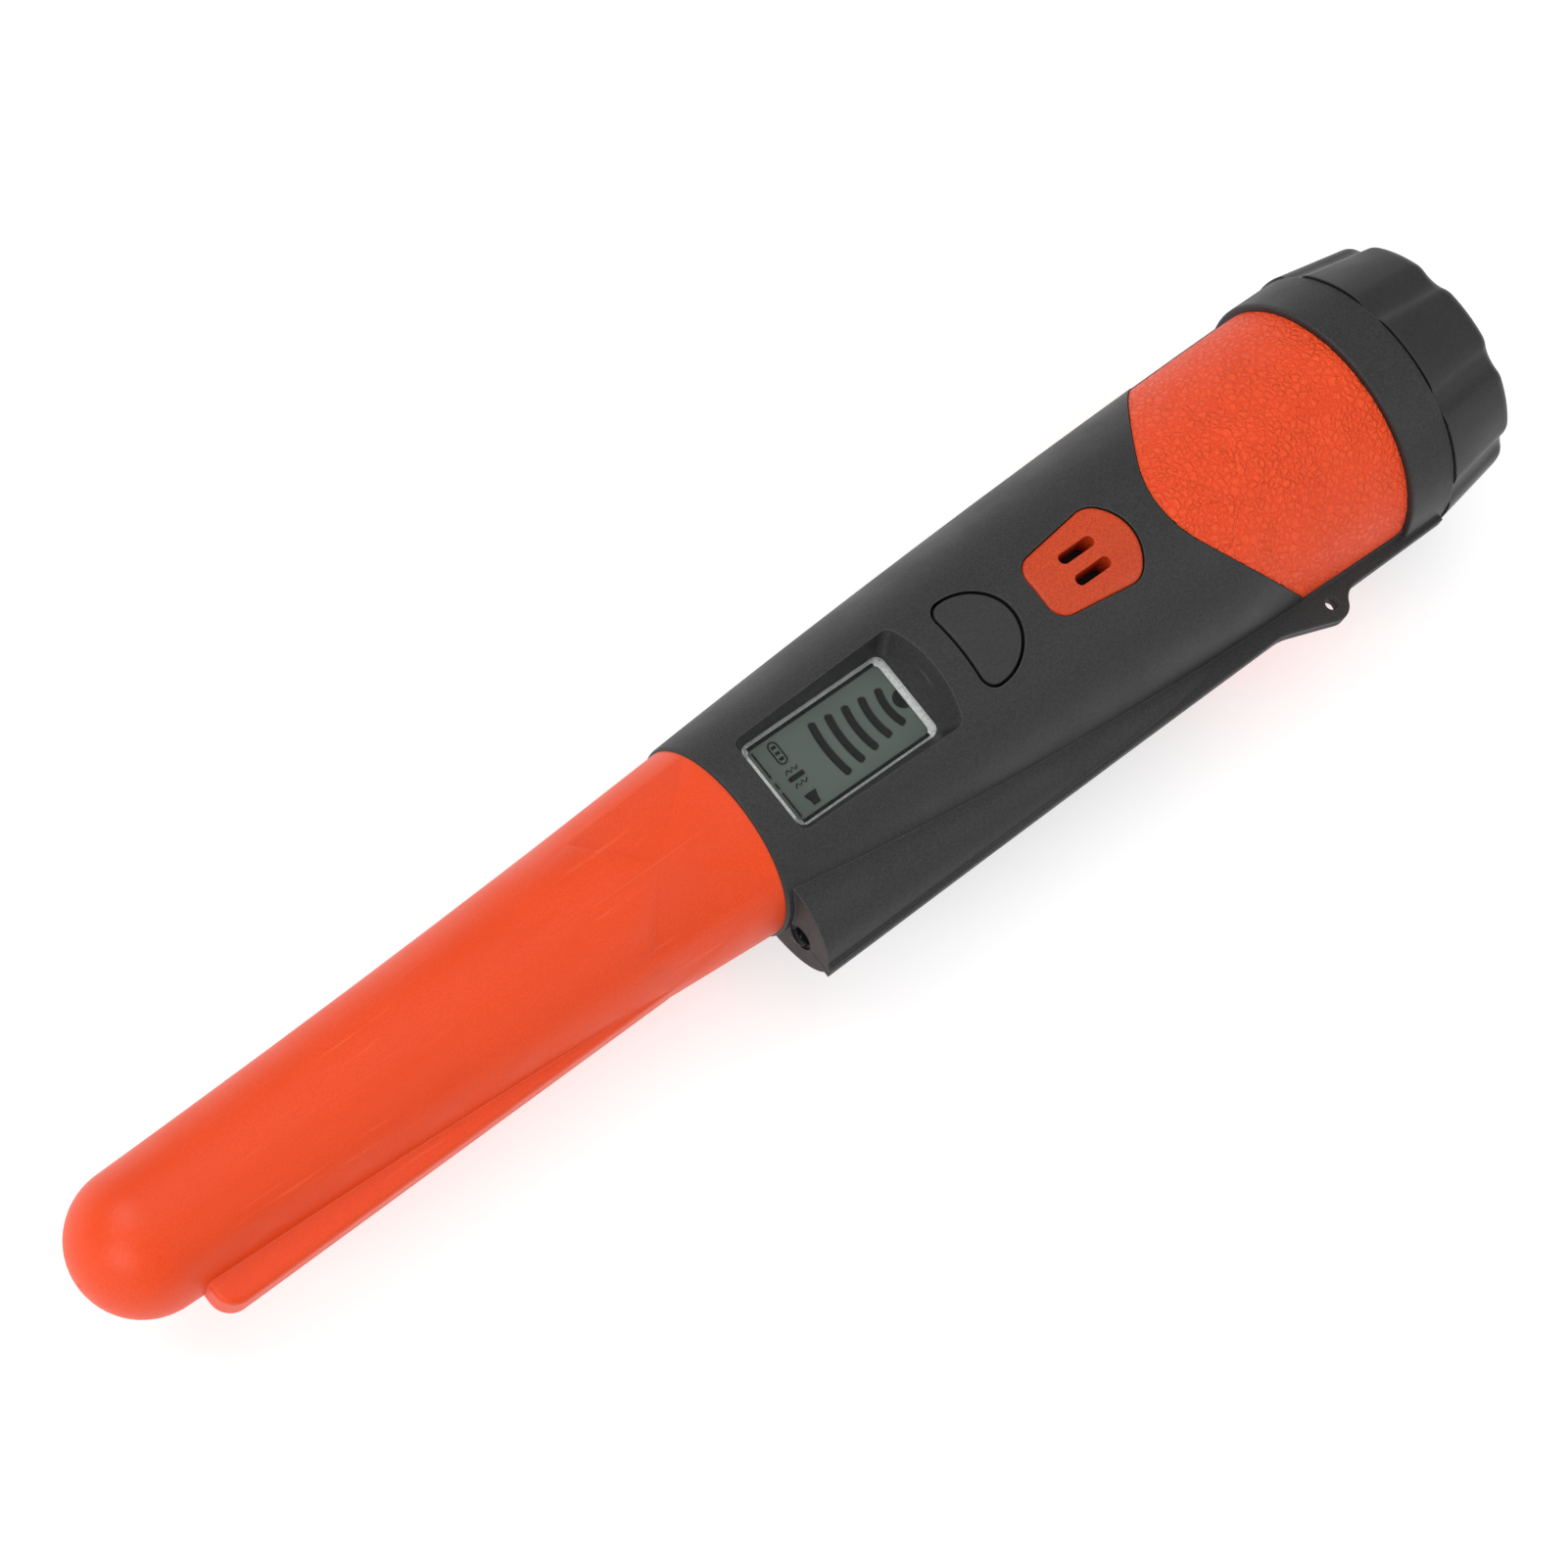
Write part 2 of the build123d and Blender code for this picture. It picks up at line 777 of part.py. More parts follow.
def grip_pocket(border):
    """Cutter of the upper grip's pocket, its edge moved in by border."""
    slope = math.radians(grip_front_slope)
    lean = math.tan(math.radians(grip_front_lean))
    apex_offset = grip_apex_radius * (1 / math.cos(slope) - 1)
    apex_x = grip_front_x + border - apex_offset + lean * handle_radius(grip_front_x)
    shoulder_x = apex_x + outside_z * math.tan(slope)
    rear_x = collar_front_x - border
    beyond_x = collar_rear_x + lean * 2 * outside_z
    with BuildPart() as solid:
        with BuildSketch(Plane.XY) as plan:
            with BuildLine():
                Polyline(
                    (apex_x, 0),
                    (shoulder_x, outside_z),
                    (beyond_x, outside_z),
                    (beyond_x, -outside_z),
                    (shoulder_x, -outside_z),
                    close=True,
                )
            make_face()
            fillet(plan.vertices().sort_by(Axis.X)[0], grip_apex_radius)
        extrude(amount=2 * outside_z, dir=(-lean, 0, 1))
        with BuildSketch(Plane.XZ) as side:
            with Locations((rear_x, grip_edge_z + border)):
                Rectangle(handle_length, outside_z, align=(Align.MAX, Align.MIN))
            fillet(
                side.vertices().group_by(Axis.Y)[0].sort_by(Axis.X)[-1],
                grip_corner,
            )
        extrude(amount=outside_z, both=True, mode=Mode.INTERSECT)
        add(handle_solid(grip_depth), mode=Mode.SUBTRACT)
    return solid.part


with BuildPart() as grip_inlay_upper:
    add(grip_pocket(seat_gap))
    add(handle_solid(grip_sink), mode=Mode.INTERSECT)
save(grip_inlay_upper.part, "grip_inlay_upper")

with BuildPart() as grip_inlay_lower:
    add(grip_inlay_upper.part)
    mirror(about=Plane.XY)
    split(bisect_by=Plane.XY, keep=Keep.BOTTOM)
save(grip_inlay_lower.part, "grip_inlay_lower")

# ================================================================ shells, finished
with BuildPart() as display_tub:
    with BuildSketch(Plane.XY.offset(ledge_z)):
        with Locations((window_centre_x, 0)):
            Rectangle(window_length + 2 * tub_wall, window_width + 2 * tub_wall)
    extrude(amount=outside_z - ledge_z)
    add(handle_solid(0), mode=Mode.INTERSECT)

recess_spread = (recess_top_z - window_z) * math.tan(math.radians(window_draft))

with BuildPart() as window_recess:
    with BuildSketch(Plane.XY.offset(window_z)):
        add(window_plan(0))
    with BuildSketch(Plane.XY.offset(recess_top_z)):
        with Locations((window_centre_x, 0)):
            RectangleRounded(
                window_length + 2 * recess_spread,
                window_width + 2 * recess_spread,
                recess_top_corner,
            )
    loft(ruled=True)

with BuildPart() as upper_shell:
    add(half_shell(ridge_upper_height, Keep.TOP))
    add(display_tub.part)
    add(posts(screw_stations, shell_boss_radius, 0, outside_z))
    add(
        holes(screw_stations, shell_screw_radius, -part_gap, shell_screw_tip_z + part_gap),
        mode=Mode.SUBTRACT,
    )
    add(grip_pocket(0), mode=Mode.SUBTRACT)
    add(window_recess.part, mode=Mode.SUBTRACT)
    add(prism(window_plan(0), ledge_top_z, window_z), mode=Mode.SUBTRACT)
    add(prism(window_plan(ledge_width), ledge_z - part_gap, window_z), mode=Mode.SUBTRACT)
    add(prism(button_plan(button_gap), 0, outside_z), mode=Mode.SUBTRACT)
    add(prism(speaker_plan(seat_gap), 0, outside_z), mode=Mode.SUBTRACT)
save(upper_shell.part, "upper_shell")

with BuildPart() as motor_saddle:
    sleeve_radius = motor_radius + sleeve_wall
    motor_front_x = seam_x + motor_front_inset
    saddle_x = motor_front_x + motor_length / 2
    with BuildSketch(Plane.XY.offset(-outside_z)):
        with Locations((saddle_x, 0)):
            Rectangle(saddle_width, 2 * sleeve_radius)
    extrude(amount=outside_z + motor_z)
    add(handle_solid(shell_wall / 2), mode=Mode.INTERSECT)
    add(
        rod(motor_front_x, motor_front_x + motor_length, sleeve_radius, 0, motor_z),
        mode=Mode.SUBTRACT,
    )

underside_front_x = seam_x + underside_front_inset
underside_rear_x = underside_front_x + underside_length

with BuildPart() as lower_shell:
    add(half_shell(-ridge_lower_height, Keep.BOTTOM))
    # the underside runs straight between two stations of the flare, a slim flat
    with BuildSketch(Plane.XZ):
        with BuildLine():
            Polyline(
                (underside_front_x, -handle_radius(underside_front_x)),
                (underside_rear_x, -handle_radius(underside_rear_x)),
                (underside_rear_x, -outside_z),
                (underside_front_x, -outside_z),
                close=True,
            )
        make_face()
    extrude(amount=outside_z, both=True, mode=Mode.SUBTRACT)
    add(posts(screw_stations, shell_boss_radius, -outside_z, 0))
    add(posts(board_screw_stations, board_boss_radius, -outside_z, board_bottom_z))
    add(motor_saddle.part)
    add(
        holes(screw_stations, shell_screw_radius + slip_fit, -outside_z, part_gap),
        mode=Mode.SUBTRACT,
    )
    add(
        holes(
            screw_stations,
            shell_screw_head_radius + seat_gap,
            -outside_z,
            shell_screw_seat_z,
        ),
        mode=Mode.SUBTRACT,
    )
    add(
        holes(
            board_screw_stations,
            board_screw_radius,
            board_screw_tip_z - part_gap,
            board_top_z,
        ),
        mode=Mode.SUBTRACT,
    )
    add(mirror(grip_pocket(0), about=Plane.XY), mode=Mode.SUBTRACT)
save(lower_shell.part, "lower_shell")

# ================================================================ display
with BuildPart() as display_window:
    add(prism(window_plan(seat_gap), gasket_z, window_z))
    chamfer(display_window.faces().sort_by(Axis.Z)[-1].edges(), window_bevel)
save(display_window.part, "display_window")

with BuildPart() as window_gasket:
    add(prism(window_plan(seat_gap), ledge_top_z, gasket_z))
    add(prism(window_plan(ledge_width), ledge_top_z, gasket_z), mode=Mode.SUBTRACT)
save(window_gasket.part, "window_gasket")

panel_top_z = gasket_z - seat_gap
panel_bottom_z = panel_top_z - panel_thickness

with BuildPart() as display_panel:
    add(prism(window_plan(ledge_width + seat_gap), panel_bottom_z, panel_top_z))
save(display_panel.part, "display_panel")

with BuildPart() as display_backlight:
    with BuildSketch(Plane.XY.offset(board_top_z)):
        with Locations((window_centre_x, 0)):
            RectangleRounded(backlight_length, backlight_width, board_corner)
    extrude(amount=panel_bottom_z - board_top_z)
save(display_backlight.part, "display_backlight")

# ================================================================ power button
switch_x = button_x + button_length / 2
switch_top_z = board_top_z + switch_height
plunger_top_z = switch_top_z + plunger_height
plunger_well_radius = plunger_radius + running_fit
plunger_well_z = switch_top_z - plunger_depth

with BuildPart() as power_button:
    add(prism(button_plan(0), button_flange_z, outside_z))
    add(handle_solid(0), mode=Mode.INTERSECT)
    fillet(
        power_button.faces().filter_by(GeomType.REVOLUTION).edges(), button_top_round
    )
    add(
        prism(
            button_plan(button_flange),
            button_flange_z - button_flange_thickness,
            button_flange_z,
        )
    )
    add(holes([(switch_x, 0)], stem_radius, plunger_top_z, button_flange_z))
save(power_button.part, "power_button")

with BuildPart() as switch_plunger:
    add(
        holes(
            [(switch_x, 0)],
            plunger_radius,
            plunger_well_z + button_travel + part_gap,
            plunger_top_z,
        )
    )
save(switch_plunger.part, "switch_plunger")

with BuildPart() as tact_switch:
    with BuildSketch(Plane.XY.offset(board_top_z)):
        with Locations((switch_x, 0)):
            Rectangle(switch_size, switch_size)
    extrude(amount=switch_height)
    add(
        holes([(switch_x, 0)], plunger_well_radius, plunger_well_z, plunger_top_z),
        mode=Mode.SUBTRACT,
    )
save(tact_switch.part, "tact_switch")

# ================================================================ speaker
speaker_base_z = speaker_flange_z - speaker_flange_thickness
membrane_z = speaker_base_z - membrane_thickness
buzzer_top_z = membrane_z - part_gap

with BuildPart() as speaker_cover:
    add(prism(speaker_plan(0), speaker_flange_z, outside_z))
    add(handle_solid(0), mode=Mode.INTERSECT)
    fillet(
        speaker_cover.faces().filter_by(GeomType.REVOLUTION).edges(),
        speaker_top_round,
    )
    add(prism(speaker_plan(speaker_flange), speaker_base_z, speaker_flange_z))
    with BuildSketch(Plane.XY.offset(speaker_base_z)):
        with Locations((speaker_centre_x, 0)):
            with GridLocations(slot_length, slot_pitch, 1, 2):
                SlotOverall(slot_length, slot_width)
    extrude(amount=outside_z - speaker_base_z, mode=Mode.SUBTRACT)
save(speaker_cover.part, "speaker_cover")

with BuildPart() as speaker_membrane:
    add(holes([(speaker_centre_x, 0)], buzzer_radius, membrane_z, speaker_base_z))
save(speaker_membrane.part, "speaker_membrane")

with BuildPart() as buzzer:
    add(holes([(speaker_centre_x, 0)], buzzer_radius, board_top_z, buzzer_top_z))
    with Locations((speaker_centre_x, 0, buzzer_top_z)):
        Hole(buzzer_hole_radius, depth=shell_wall)
save(buzzer.part, "buzzer")

# ================================================================ lamp
with BuildPart() as led_lamp:
    dome_x = lamp_face_x - lamp_proud + lamp_radius
    add(rod(dome_x, lamp_flange_x, lamp_radius, lamp_y))
    with Locations((dome_x, lamp_y, 0)):
        Sphere(lamp_radius)
    add(rod(lamp_flange_x, lamp_holder_x, lamp_flange_radius, lamp_y))
save(led_lamp.part, "led_lamp")

with BuildPart() as led_holder:
    add(rod(lamp_holder_x, lamp_duct_x - lamp_duct_radius, lamp_flange_radius, lamp_y))
save(led_holder.part, "led_holder")

# ================================================================ circuit board
board_x = seam_x + board_front_inset
board_centre_x = board_x + board_length / 2

with BuildPart() as main_board:
    with BuildSketch(Plane.XY.offset(board_bottom_z)):
        with Locations((board_centre_x, 0)):
            RectangleRounded(board_length, board_width, board_corner)
        with Locations(*board_screw_stations):
            Circle(board_screw_radius + slip_fit, mode=Mode.SUBTRACT)
    extrude(amount=board_thickness)
save(main_board.part, "main_board")

with BuildPart() as board_chips:
    with BuildSketch(Plane.XY.offset(board_bottom_z - chip_height)):
        for step, (length, width) in enumerate(chip_sizes, start=-1):
            with Locations((board_centre_x + step * chip_pitch, 0)):
                Rectangle(length, width)
    extrude(amount=chip_height)
save(board_chips.part, "board_chips")


def pan_screws(stations, seat_z, tip_z, radius, head_radius, head_height):
    """Pan-head screws along Z with a crossed drive, heads on the seat_z side."""
    out = math.copysign(1, seat_z - tip_z)
    head_z = seat_z + out * head_height
    drive_z = head_z - out * screw_drive_depth
    with BuildPart() as solid:
        add(holes(stations, radius, tip_z, seat_z))
        add(holes(stations, head_radius, seat_z, head_z))
        with BuildSketch(Plane.XY.offset(drive_z)):
            with Locations(*stations):
                Rectangle(screw_drive_length, screw_drive_width)
                Rectangle(screw_drive_width, screw_drive_length)
        extrude(amount=out * screw_drive_depth, mode=Mode.SUBTRACT)
    return solid.part


with BuildPart() as board_screws:
    add(
        pan_screws(
            board_screw_stations,
            board_top_z,
            board_screw_tip_z,
            board_screw_radius,
            board_screw_head_radius,
            board_screw_head_height,
        )
    )
save(board_screws.part, "board_screws")

with BuildPart() as shell_screws:
    add(
        pan_screws(
            screw_stations,
            shell_screw_seat_z,
            shell_screw_tip_z,
            shell_screw_radius,
            shell_screw_head_radius,
            shell_screw_head_height,
        )
    )
save(shell_screws.part, "shell_screws")

# ================================================================ vibration motor
motor_rear_x = motor_front_x + motor_length
shaft_front_x = motor_rear_x - motor_shaft_depth
shaft_rear_x = motor_rear_x + motor_shaft_length
weight_rear_x = shaft_rear_x - part_gap
weight_front_x = weight_rear_x - weight_length

with BuildPart() as vibration_motor:
    add(rod(motor_front_x, motor_rear_x, motor_radius, 0, motor_z))
    add(
        rod(
            shaft_front_x - part_gap,
            motor_rear_x,
            motor_shaft_radius + running_fit,
            0,
            motor_z,
        ),
        mode=Mode.SUBTRACT,
    )
save(vibration_motor.part, "vibration_motor")

with BuildPart() as motor_shaft:
    add(rod(shaft_front_x, shaft_rear_x, motor_shaft_radius, 0, motor_z))
save(motor_shaft.part, "motor_shaft")

with BuildPart() as motor_weight:
    with BuildSketch(Plane.YZ.offset(weight_front_x)):
        with Locations((0, motor_z)):
            Circle(weight_radius)
            Rectangle(
                2 * weight_radius,
                weight_radius,
                align=(Align.CENTER, Align.MIN),
                mode=Mode.SUBTRACT,
            )
            Circle(weight_hub_radius)
            Circle(motor_shaft_radius, mode=Mode.SUBTRACT)
    extrude(amount=weight_length)
save(motor_weight.part, "motor_weight")

with BuildPart() as motor_sleeve:
    sleeve_x = saddle_x - sleeve_length / 2
    add(rod(sleeve_x, sleeve_x + sleeve_length, sleeve_radius, 0, motor_z))
    add(rod(sleeve_x, sleeve_x + sleeve_length, motor_radius, 0, motor_z), mode=Mode.SUBTRACT)
save(motor_sleeve.part, "motor_sleeve")

# ================================================================ battery
cap_inner_x = -cap_end_thickness
pad_rear_x = cap_inner_x - part_gap
pad_front_x = pad_rear_x - pad_thickness
battery_rear_x = pad_front_x - part_gap
battery_front_x = battery_rear_x - battery_length
terminal_x = battery_front_x - terminal_height
contact_x = terminal_x - snap_contact_thickness
snap_x = contact_x - snap_thickness
tube_floor_x = snap_x - battery_fit
tube_front_x = tube_floor_x - tube_front_wall
neck_end_x = collar_rear_x + neck_length
terminal_ys = (-terminal_pitch / 2, terminal_pitch / 2)


def battery_box(start_x, end_x, grow):
    """Block of the battery's section between two stations."""
    with BuildPart() as solid:
        with BuildSketch(Plane.YZ.offset(start_x)):
            RectangleRounded(
                battery_width + 2 * grow,
                battery_height + 2 * grow,
                battery_corner + grow,
            )
        extrude(amount=end_x - start_x)
    return solid.part


with BuildPart() as battery_tube:
    add(rod(tube_front_x, collar_rear_x, tube_radius))
    add(rod(collar_rear_x, neck_end_x, neck_radius))
    add(battery_box(tube_floor_x, neck_end_x, battery_fit), mode=Mode.SUBTRACT)
    add(rod(tube_front_x, tube_floor_x, tube_wire_radius), mode=Mode.SUBTRACT)
    add(
        ring_seal(
            collar_rear_x + cap_seal_inset,
            neck_radius - cap_seal_section,
            cap_seal_section + slip_fit,
        ),
        mode=Mode.SUBTRACT,
    )
save(battery_tube.part, "battery_tube")

with BuildPart() as cap_seal:
    add(
        ring_seal(
            collar_rear_x + cap_seal_inset,
            neck_radius - cap_seal_section,
            cap_seal_section,
        )
    )
save(cap_seal.part, "cap_seal")

with BuildPart() as battery_9v:
    add(battery_box(battery_front_x, battery_rear_x, 0))
save(battery_9v.part, "battery_9v")

with BuildPart() as battery_terminals:
    for y, radius in zip(terminal_ys, (plus_terminal_radius, minus_terminal_radius)):
        add(rod(terminal_x, battery_front_x, radius, y))
        add(rod(terminal_x, battery_front_x, terminal_bore_radius, y), mode=Mode.SUBTRACT)
save(battery_terminals.part, "battery_terminals")

with BuildPart() as battery_snap:
    add(battery_box(snap_x, contact_x, 0))
save(battery_snap.part, "battery_snap")

with BuildPart() as snap_contacts:
    for y in terminal_ys:
        add(rod(contact_x, terminal_x, snap_contact_radius, y))
save(snap_contacts.part, "snap_contacts")

# ================================================================ battery cap
def lobed_section(x, radius):
    """Section of the battery cap's grip, wide lobes with narrow valleys."""
    with BuildSketch(Plane.YZ.offset(x)) as section:
        Circle(radius)
        with PolarLocations(
            radius + valley_radius - valley_depth, cap_lobes, cap_first_valley
        ):
            Circle(valley_radius, mode=Mode.SUBTRACT)
        fillet(section.vertices(), valley_round)
    return section.sketch


with BuildPart() as battery_cap:
    loft(
        sections=[
            lobed_section(-cap_length, cap_radius),
            lobed_section(0, cap_end_radius),
        ],
        ruled=True,
    )
    fillet(battery_cap.faces().sort_by(Axis.X)[-1].edges(), cap_end_round)
    add(rod(-cap_length, cap_inner_x, neck_radius + running_fit), mode=Mode.SUBTRACT)
    add(
        rod(cap_inner_x, pad_rear_x + pad_pin_length + part_gap, pad_pin_radius + running_fit),
        mode=Mode.SUBTRACT,
    )
save(battery_cap.part, "battery_cap")

with BuildPart() as cap_pad:
    add(rod(pad_front_x, pad_rear_x, pad_radius))
save(cap_pad.part, "cap_pad")

with BuildPart() as pad_pin:
    add(rod(pad_rear_x, pad_rear_x + pad_pin_length, pad_pin_radius))
save(pad_pin.part, "pad_pin")
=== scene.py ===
"""The pinpointer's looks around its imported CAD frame: materials, display markings, light and camera."""

import json
import math

import bpy
import bmesh
from mathutils import Matrix, Vector


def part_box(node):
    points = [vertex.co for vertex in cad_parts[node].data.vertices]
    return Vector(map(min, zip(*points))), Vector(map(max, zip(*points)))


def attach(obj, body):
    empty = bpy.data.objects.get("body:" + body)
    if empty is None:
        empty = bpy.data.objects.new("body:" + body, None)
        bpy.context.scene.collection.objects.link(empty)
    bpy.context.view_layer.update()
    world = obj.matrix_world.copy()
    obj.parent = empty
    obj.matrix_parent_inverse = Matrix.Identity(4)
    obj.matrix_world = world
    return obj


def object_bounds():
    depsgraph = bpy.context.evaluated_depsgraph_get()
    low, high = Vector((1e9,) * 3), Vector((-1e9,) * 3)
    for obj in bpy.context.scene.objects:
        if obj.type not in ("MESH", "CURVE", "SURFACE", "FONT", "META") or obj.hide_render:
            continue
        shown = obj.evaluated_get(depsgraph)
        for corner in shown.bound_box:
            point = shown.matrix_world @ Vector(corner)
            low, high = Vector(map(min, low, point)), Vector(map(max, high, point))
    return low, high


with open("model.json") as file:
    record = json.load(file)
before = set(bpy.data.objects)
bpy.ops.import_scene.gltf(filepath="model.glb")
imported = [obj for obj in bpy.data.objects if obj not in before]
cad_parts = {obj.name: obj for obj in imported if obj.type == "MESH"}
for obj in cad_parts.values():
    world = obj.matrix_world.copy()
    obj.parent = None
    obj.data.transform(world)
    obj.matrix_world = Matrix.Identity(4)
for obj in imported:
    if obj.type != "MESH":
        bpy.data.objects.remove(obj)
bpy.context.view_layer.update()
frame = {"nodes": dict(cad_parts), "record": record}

MM = 0.001
WAVE_SCALE = 0.314            # a wave texture's scale for one band per metre
EDGE_FLAT, EDGE_SHARP = 0.995, 0.86   # agreement of rounded and true normals

# ---------------------------------------------------------------- node helpers


def shader_tree(name):
    """A new node material: the material, its node tree and its Principled shader."""
    material = bpy.data.materials.new(name)
    material.use_nodes = True
    tree = material.node_tree
    return material, tree, tree.nodes["Principled BSDF"]


def add_node(tree, kind, **settings):
    """A shader node with its settings; a setting that isn't a property is an input's value."""
    made = tree.nodes.new(kind)
    for key, value in settings.items():
        if hasattr(made, key):
            setattr(made, key, value)
        else:
            made.inputs[key.replace("_", " ")].default_value = value
    return made


def link(tree, source, target):
    tree.links.new(source, target)


def place(tree):
    """The part's own coordinates, in metres."""
    return add_node(tree, "ShaderNodeTexCoord").outputs["Object"]


def math_node(tree, operation, first, second):
    made = add_node(tree, "ShaderNodeMath", operation=operation)
    for socket, value in zip(made.inputs, (first, second)):
        if isinstance(value, (int, float)):
            socket.default_value = value
        else:
            link(tree, value, socket)
    return made.outputs[0]


def remap(tree, value, low, high, out_low=0.0, out_high=1.0):
    """A value's range from low to high, moved smoothly to the range from out_low to out_high."""
    made = add_node(tree, "ShaderNodeMapRange", interpolation_type="SMOOTHSTEP")
    link(tree, value, made.inputs["Value"])
    made.inputs["From Min"].default_value = low
    made.inputs["From Max"].default_value = high
    made.inputs["To Min"].default_value = out_low
    made.inputs["To Max"].default_value = out_high
    return made.outputs["Result"]


def noise(tree, where, size, detail=3.0, roughness=0.5, stretch=None):
    """Cloudy noise whose spots are about size metres across, as a value from 0 to 1."""
    if stretch is not None:
        mapping = add_node(tree, "ShaderNodeMapping")
        mapping.inputs["Scale"].default_value = stretch
        link(tree, where, mapping.inputs["Vector"])
        where = mapping.outputs["Vector"]
    made = add_node(tree, "ShaderNodeTexNoise", Scale=1 / size, Detail=detail, Roughness=roughness)
    link(tree, where, made.inputs["Vector"])
    return made.outputs["Fac"]


def blend_colours(tree, factor, first, second):
    """Two colours mixed by a value; each colour is a tuple or a socket."""
    made = add_node(tree, "ShaderNodeMix", data_type="RGBA")
    link(tree, factor, made.inputs["Factor"])
    sockets = [s for s in made.inputs if s.type == "RGBA"]
    for socket, colour in zip(sockets, (first, second)):
        if isinstance(colour, tuple):
            socket.default_value = (*colour, 1.0)
        else:
            link(tree, colour, socket)
    return [s for s in made.outputs if s.type == "RGBA"][0]


def edge_mask(tree, radius):
    """Near 1 on sharp edges and 0 on flat ground: how far a rounded normal leans from the true one."""
    rounded = add_node(tree, "ShaderNodeBevel", samples=4, Radius=radius)
    true = add_node(tree, "ShaderNodeNewGeometry")
    dot = add_node(tree, "ShaderNodeVectorMath", operation="DOT_PRODUCT")
    link(tree, rounded.outputs["Normal"], dot.inputs[0])
    link(tree, true.outputs["Normal"], dot.inputs[1])
    return remap(tree, dot.outputs["Value"], EDGE_FLAT, EDGE_SHARP), rounded.outputs["Normal"]


def bump(tree, height, depth, normal=None):
    """A normal that stands up by depth where the height is 1."""
    made = add_node(tree, "ShaderNodeBump", Distance=depth, Strength=1.0)
    link(tree, height, made.inputs["Height"])
    if normal is not None:
        link(tree, normal, made.inputs["Normal"])
    return made.outputs["Normal"]


def tint(colour, factor):
    return tuple(channel * factor for channel in colour)


# ---------------------------------------------------------------- materials


def moulded(
    name,
    colour,
    roughness=0.5,
    grain=0.35 * MM,
    depth=0.02 * MM,
    speckle=0.2,
    edge_highlight=1.35,
):
    """Moulded plastic: a spark-eroded grain, slow colour variation and a painted highlight that makes edges
    paler.
    """
    mottle, cloud, edge = 0.12, 9 * MM, 0.25 * MM
    material, tree, shader = shader_tree(name)
    where = place(tree)
    clouds = noise(tree, where, cloud, detail=4.0)
    fine = noise(tree, where, grain, detail=3.0, roughness=0.7)
    base = blend_colours(tree, clouds, tint(colour, 1 - mottle), tint(colour, 1 + mottle))
    flecks = remap(tree, fine, 0.35, 0.65, -speckle, speckle)
    base = blend_colours(tree, math_node(tree, "ADD", flecks, 0.5), tint(colour, 0.4), base)
    edges, rounded = edge_mask(tree, edge)
    # painted highlight: edges made paler in cloudy patches, standing in for light caught on rims
    base = blend_colours(tree, math_node(tree, "MULTIPLY", edges, clouds), base, tint(colour, edge_highlight))
    link(tree, base, shader.inputs["Base Color"])
    rough = remap(tree, clouds, 0.25, 0.75, roughness - 0.05, roughness + 0.06)
    link(tree, rough, shader.inputs["Roughness"])
    link(tree, bump(tree, fine, depth, rounded), shader.inputs["Normal"])
    shader.inputs["Specular IOR Level"].default_value = 0.35
    return material


def scuffed_probe(name):
    """The probe's satin orange plastic: a fine grain, patches of faint rub marks and a painted highlight that
    makes edges paler.
    """
    colour = (0.79, 0.056, 0.003)
    material, tree, shader = shader_tree(name)
    where = place(tree)
    clouds = noise(tree, where, 14 * MM, detail=5.0)
    fine = noise(tree, where, 0.3 * MM, detail=2.0, roughness=0.6)
    scratches = noise(tree, where, 1.1 * MM, detail=3.0, stretch=(0.06, 1.0, 1.0))
    scratches = remap(tree, scratches, 0.6, 0.85)
    patches = remap(tree, noise(tree, where, 22 * MM, detail=2.0), 0.42, 0.62)
    marks = math_node(tree, "MULTIPLY", scratches, patches)
    base = blend_colours(tree, clouds, tint(colour, 0.88), (0.85, 0.07, 0.006))
    flecks = remap(tree, fine, 0.3, 0.7)
    base = blend_colours(tree, flecks, tint(colour, 0.9), base)
    base = blend_colours(tree, marks, base, (0.85, 0.105, 0.03))
    edges, rounded = edge_mask(tree, 0.3 * MM)
    # painted highlight: paler orange along edges
    base = blend_colours(tree, edges, base, (0.88, 0.16, 0.07))
    link(tree, base, shader.inputs["Base Color"])
    rough = remap(tree, clouds, 0.3, 0.7, 0.4, 0.5)
    link(tree, rough, shader.inputs["Roughness"])
    relief = math_node(tree, "SUBTRACT", fine, marks)
    link(tree, bump(tree, relief, 0.012 * MM, rounded), shader.inputs["Normal"])
    shader.inputs["Specular IOR Level"].default_value = 0.35
    shader.inputs["Subsurface Weight"].default_value = 0.06
    shader.inputs["Subsurface Radius"].default_value = (1.0, 0.3, 0.1)
    shader.inputs["Subsurface Scale"].default_value = 1.2 * MM
    return material


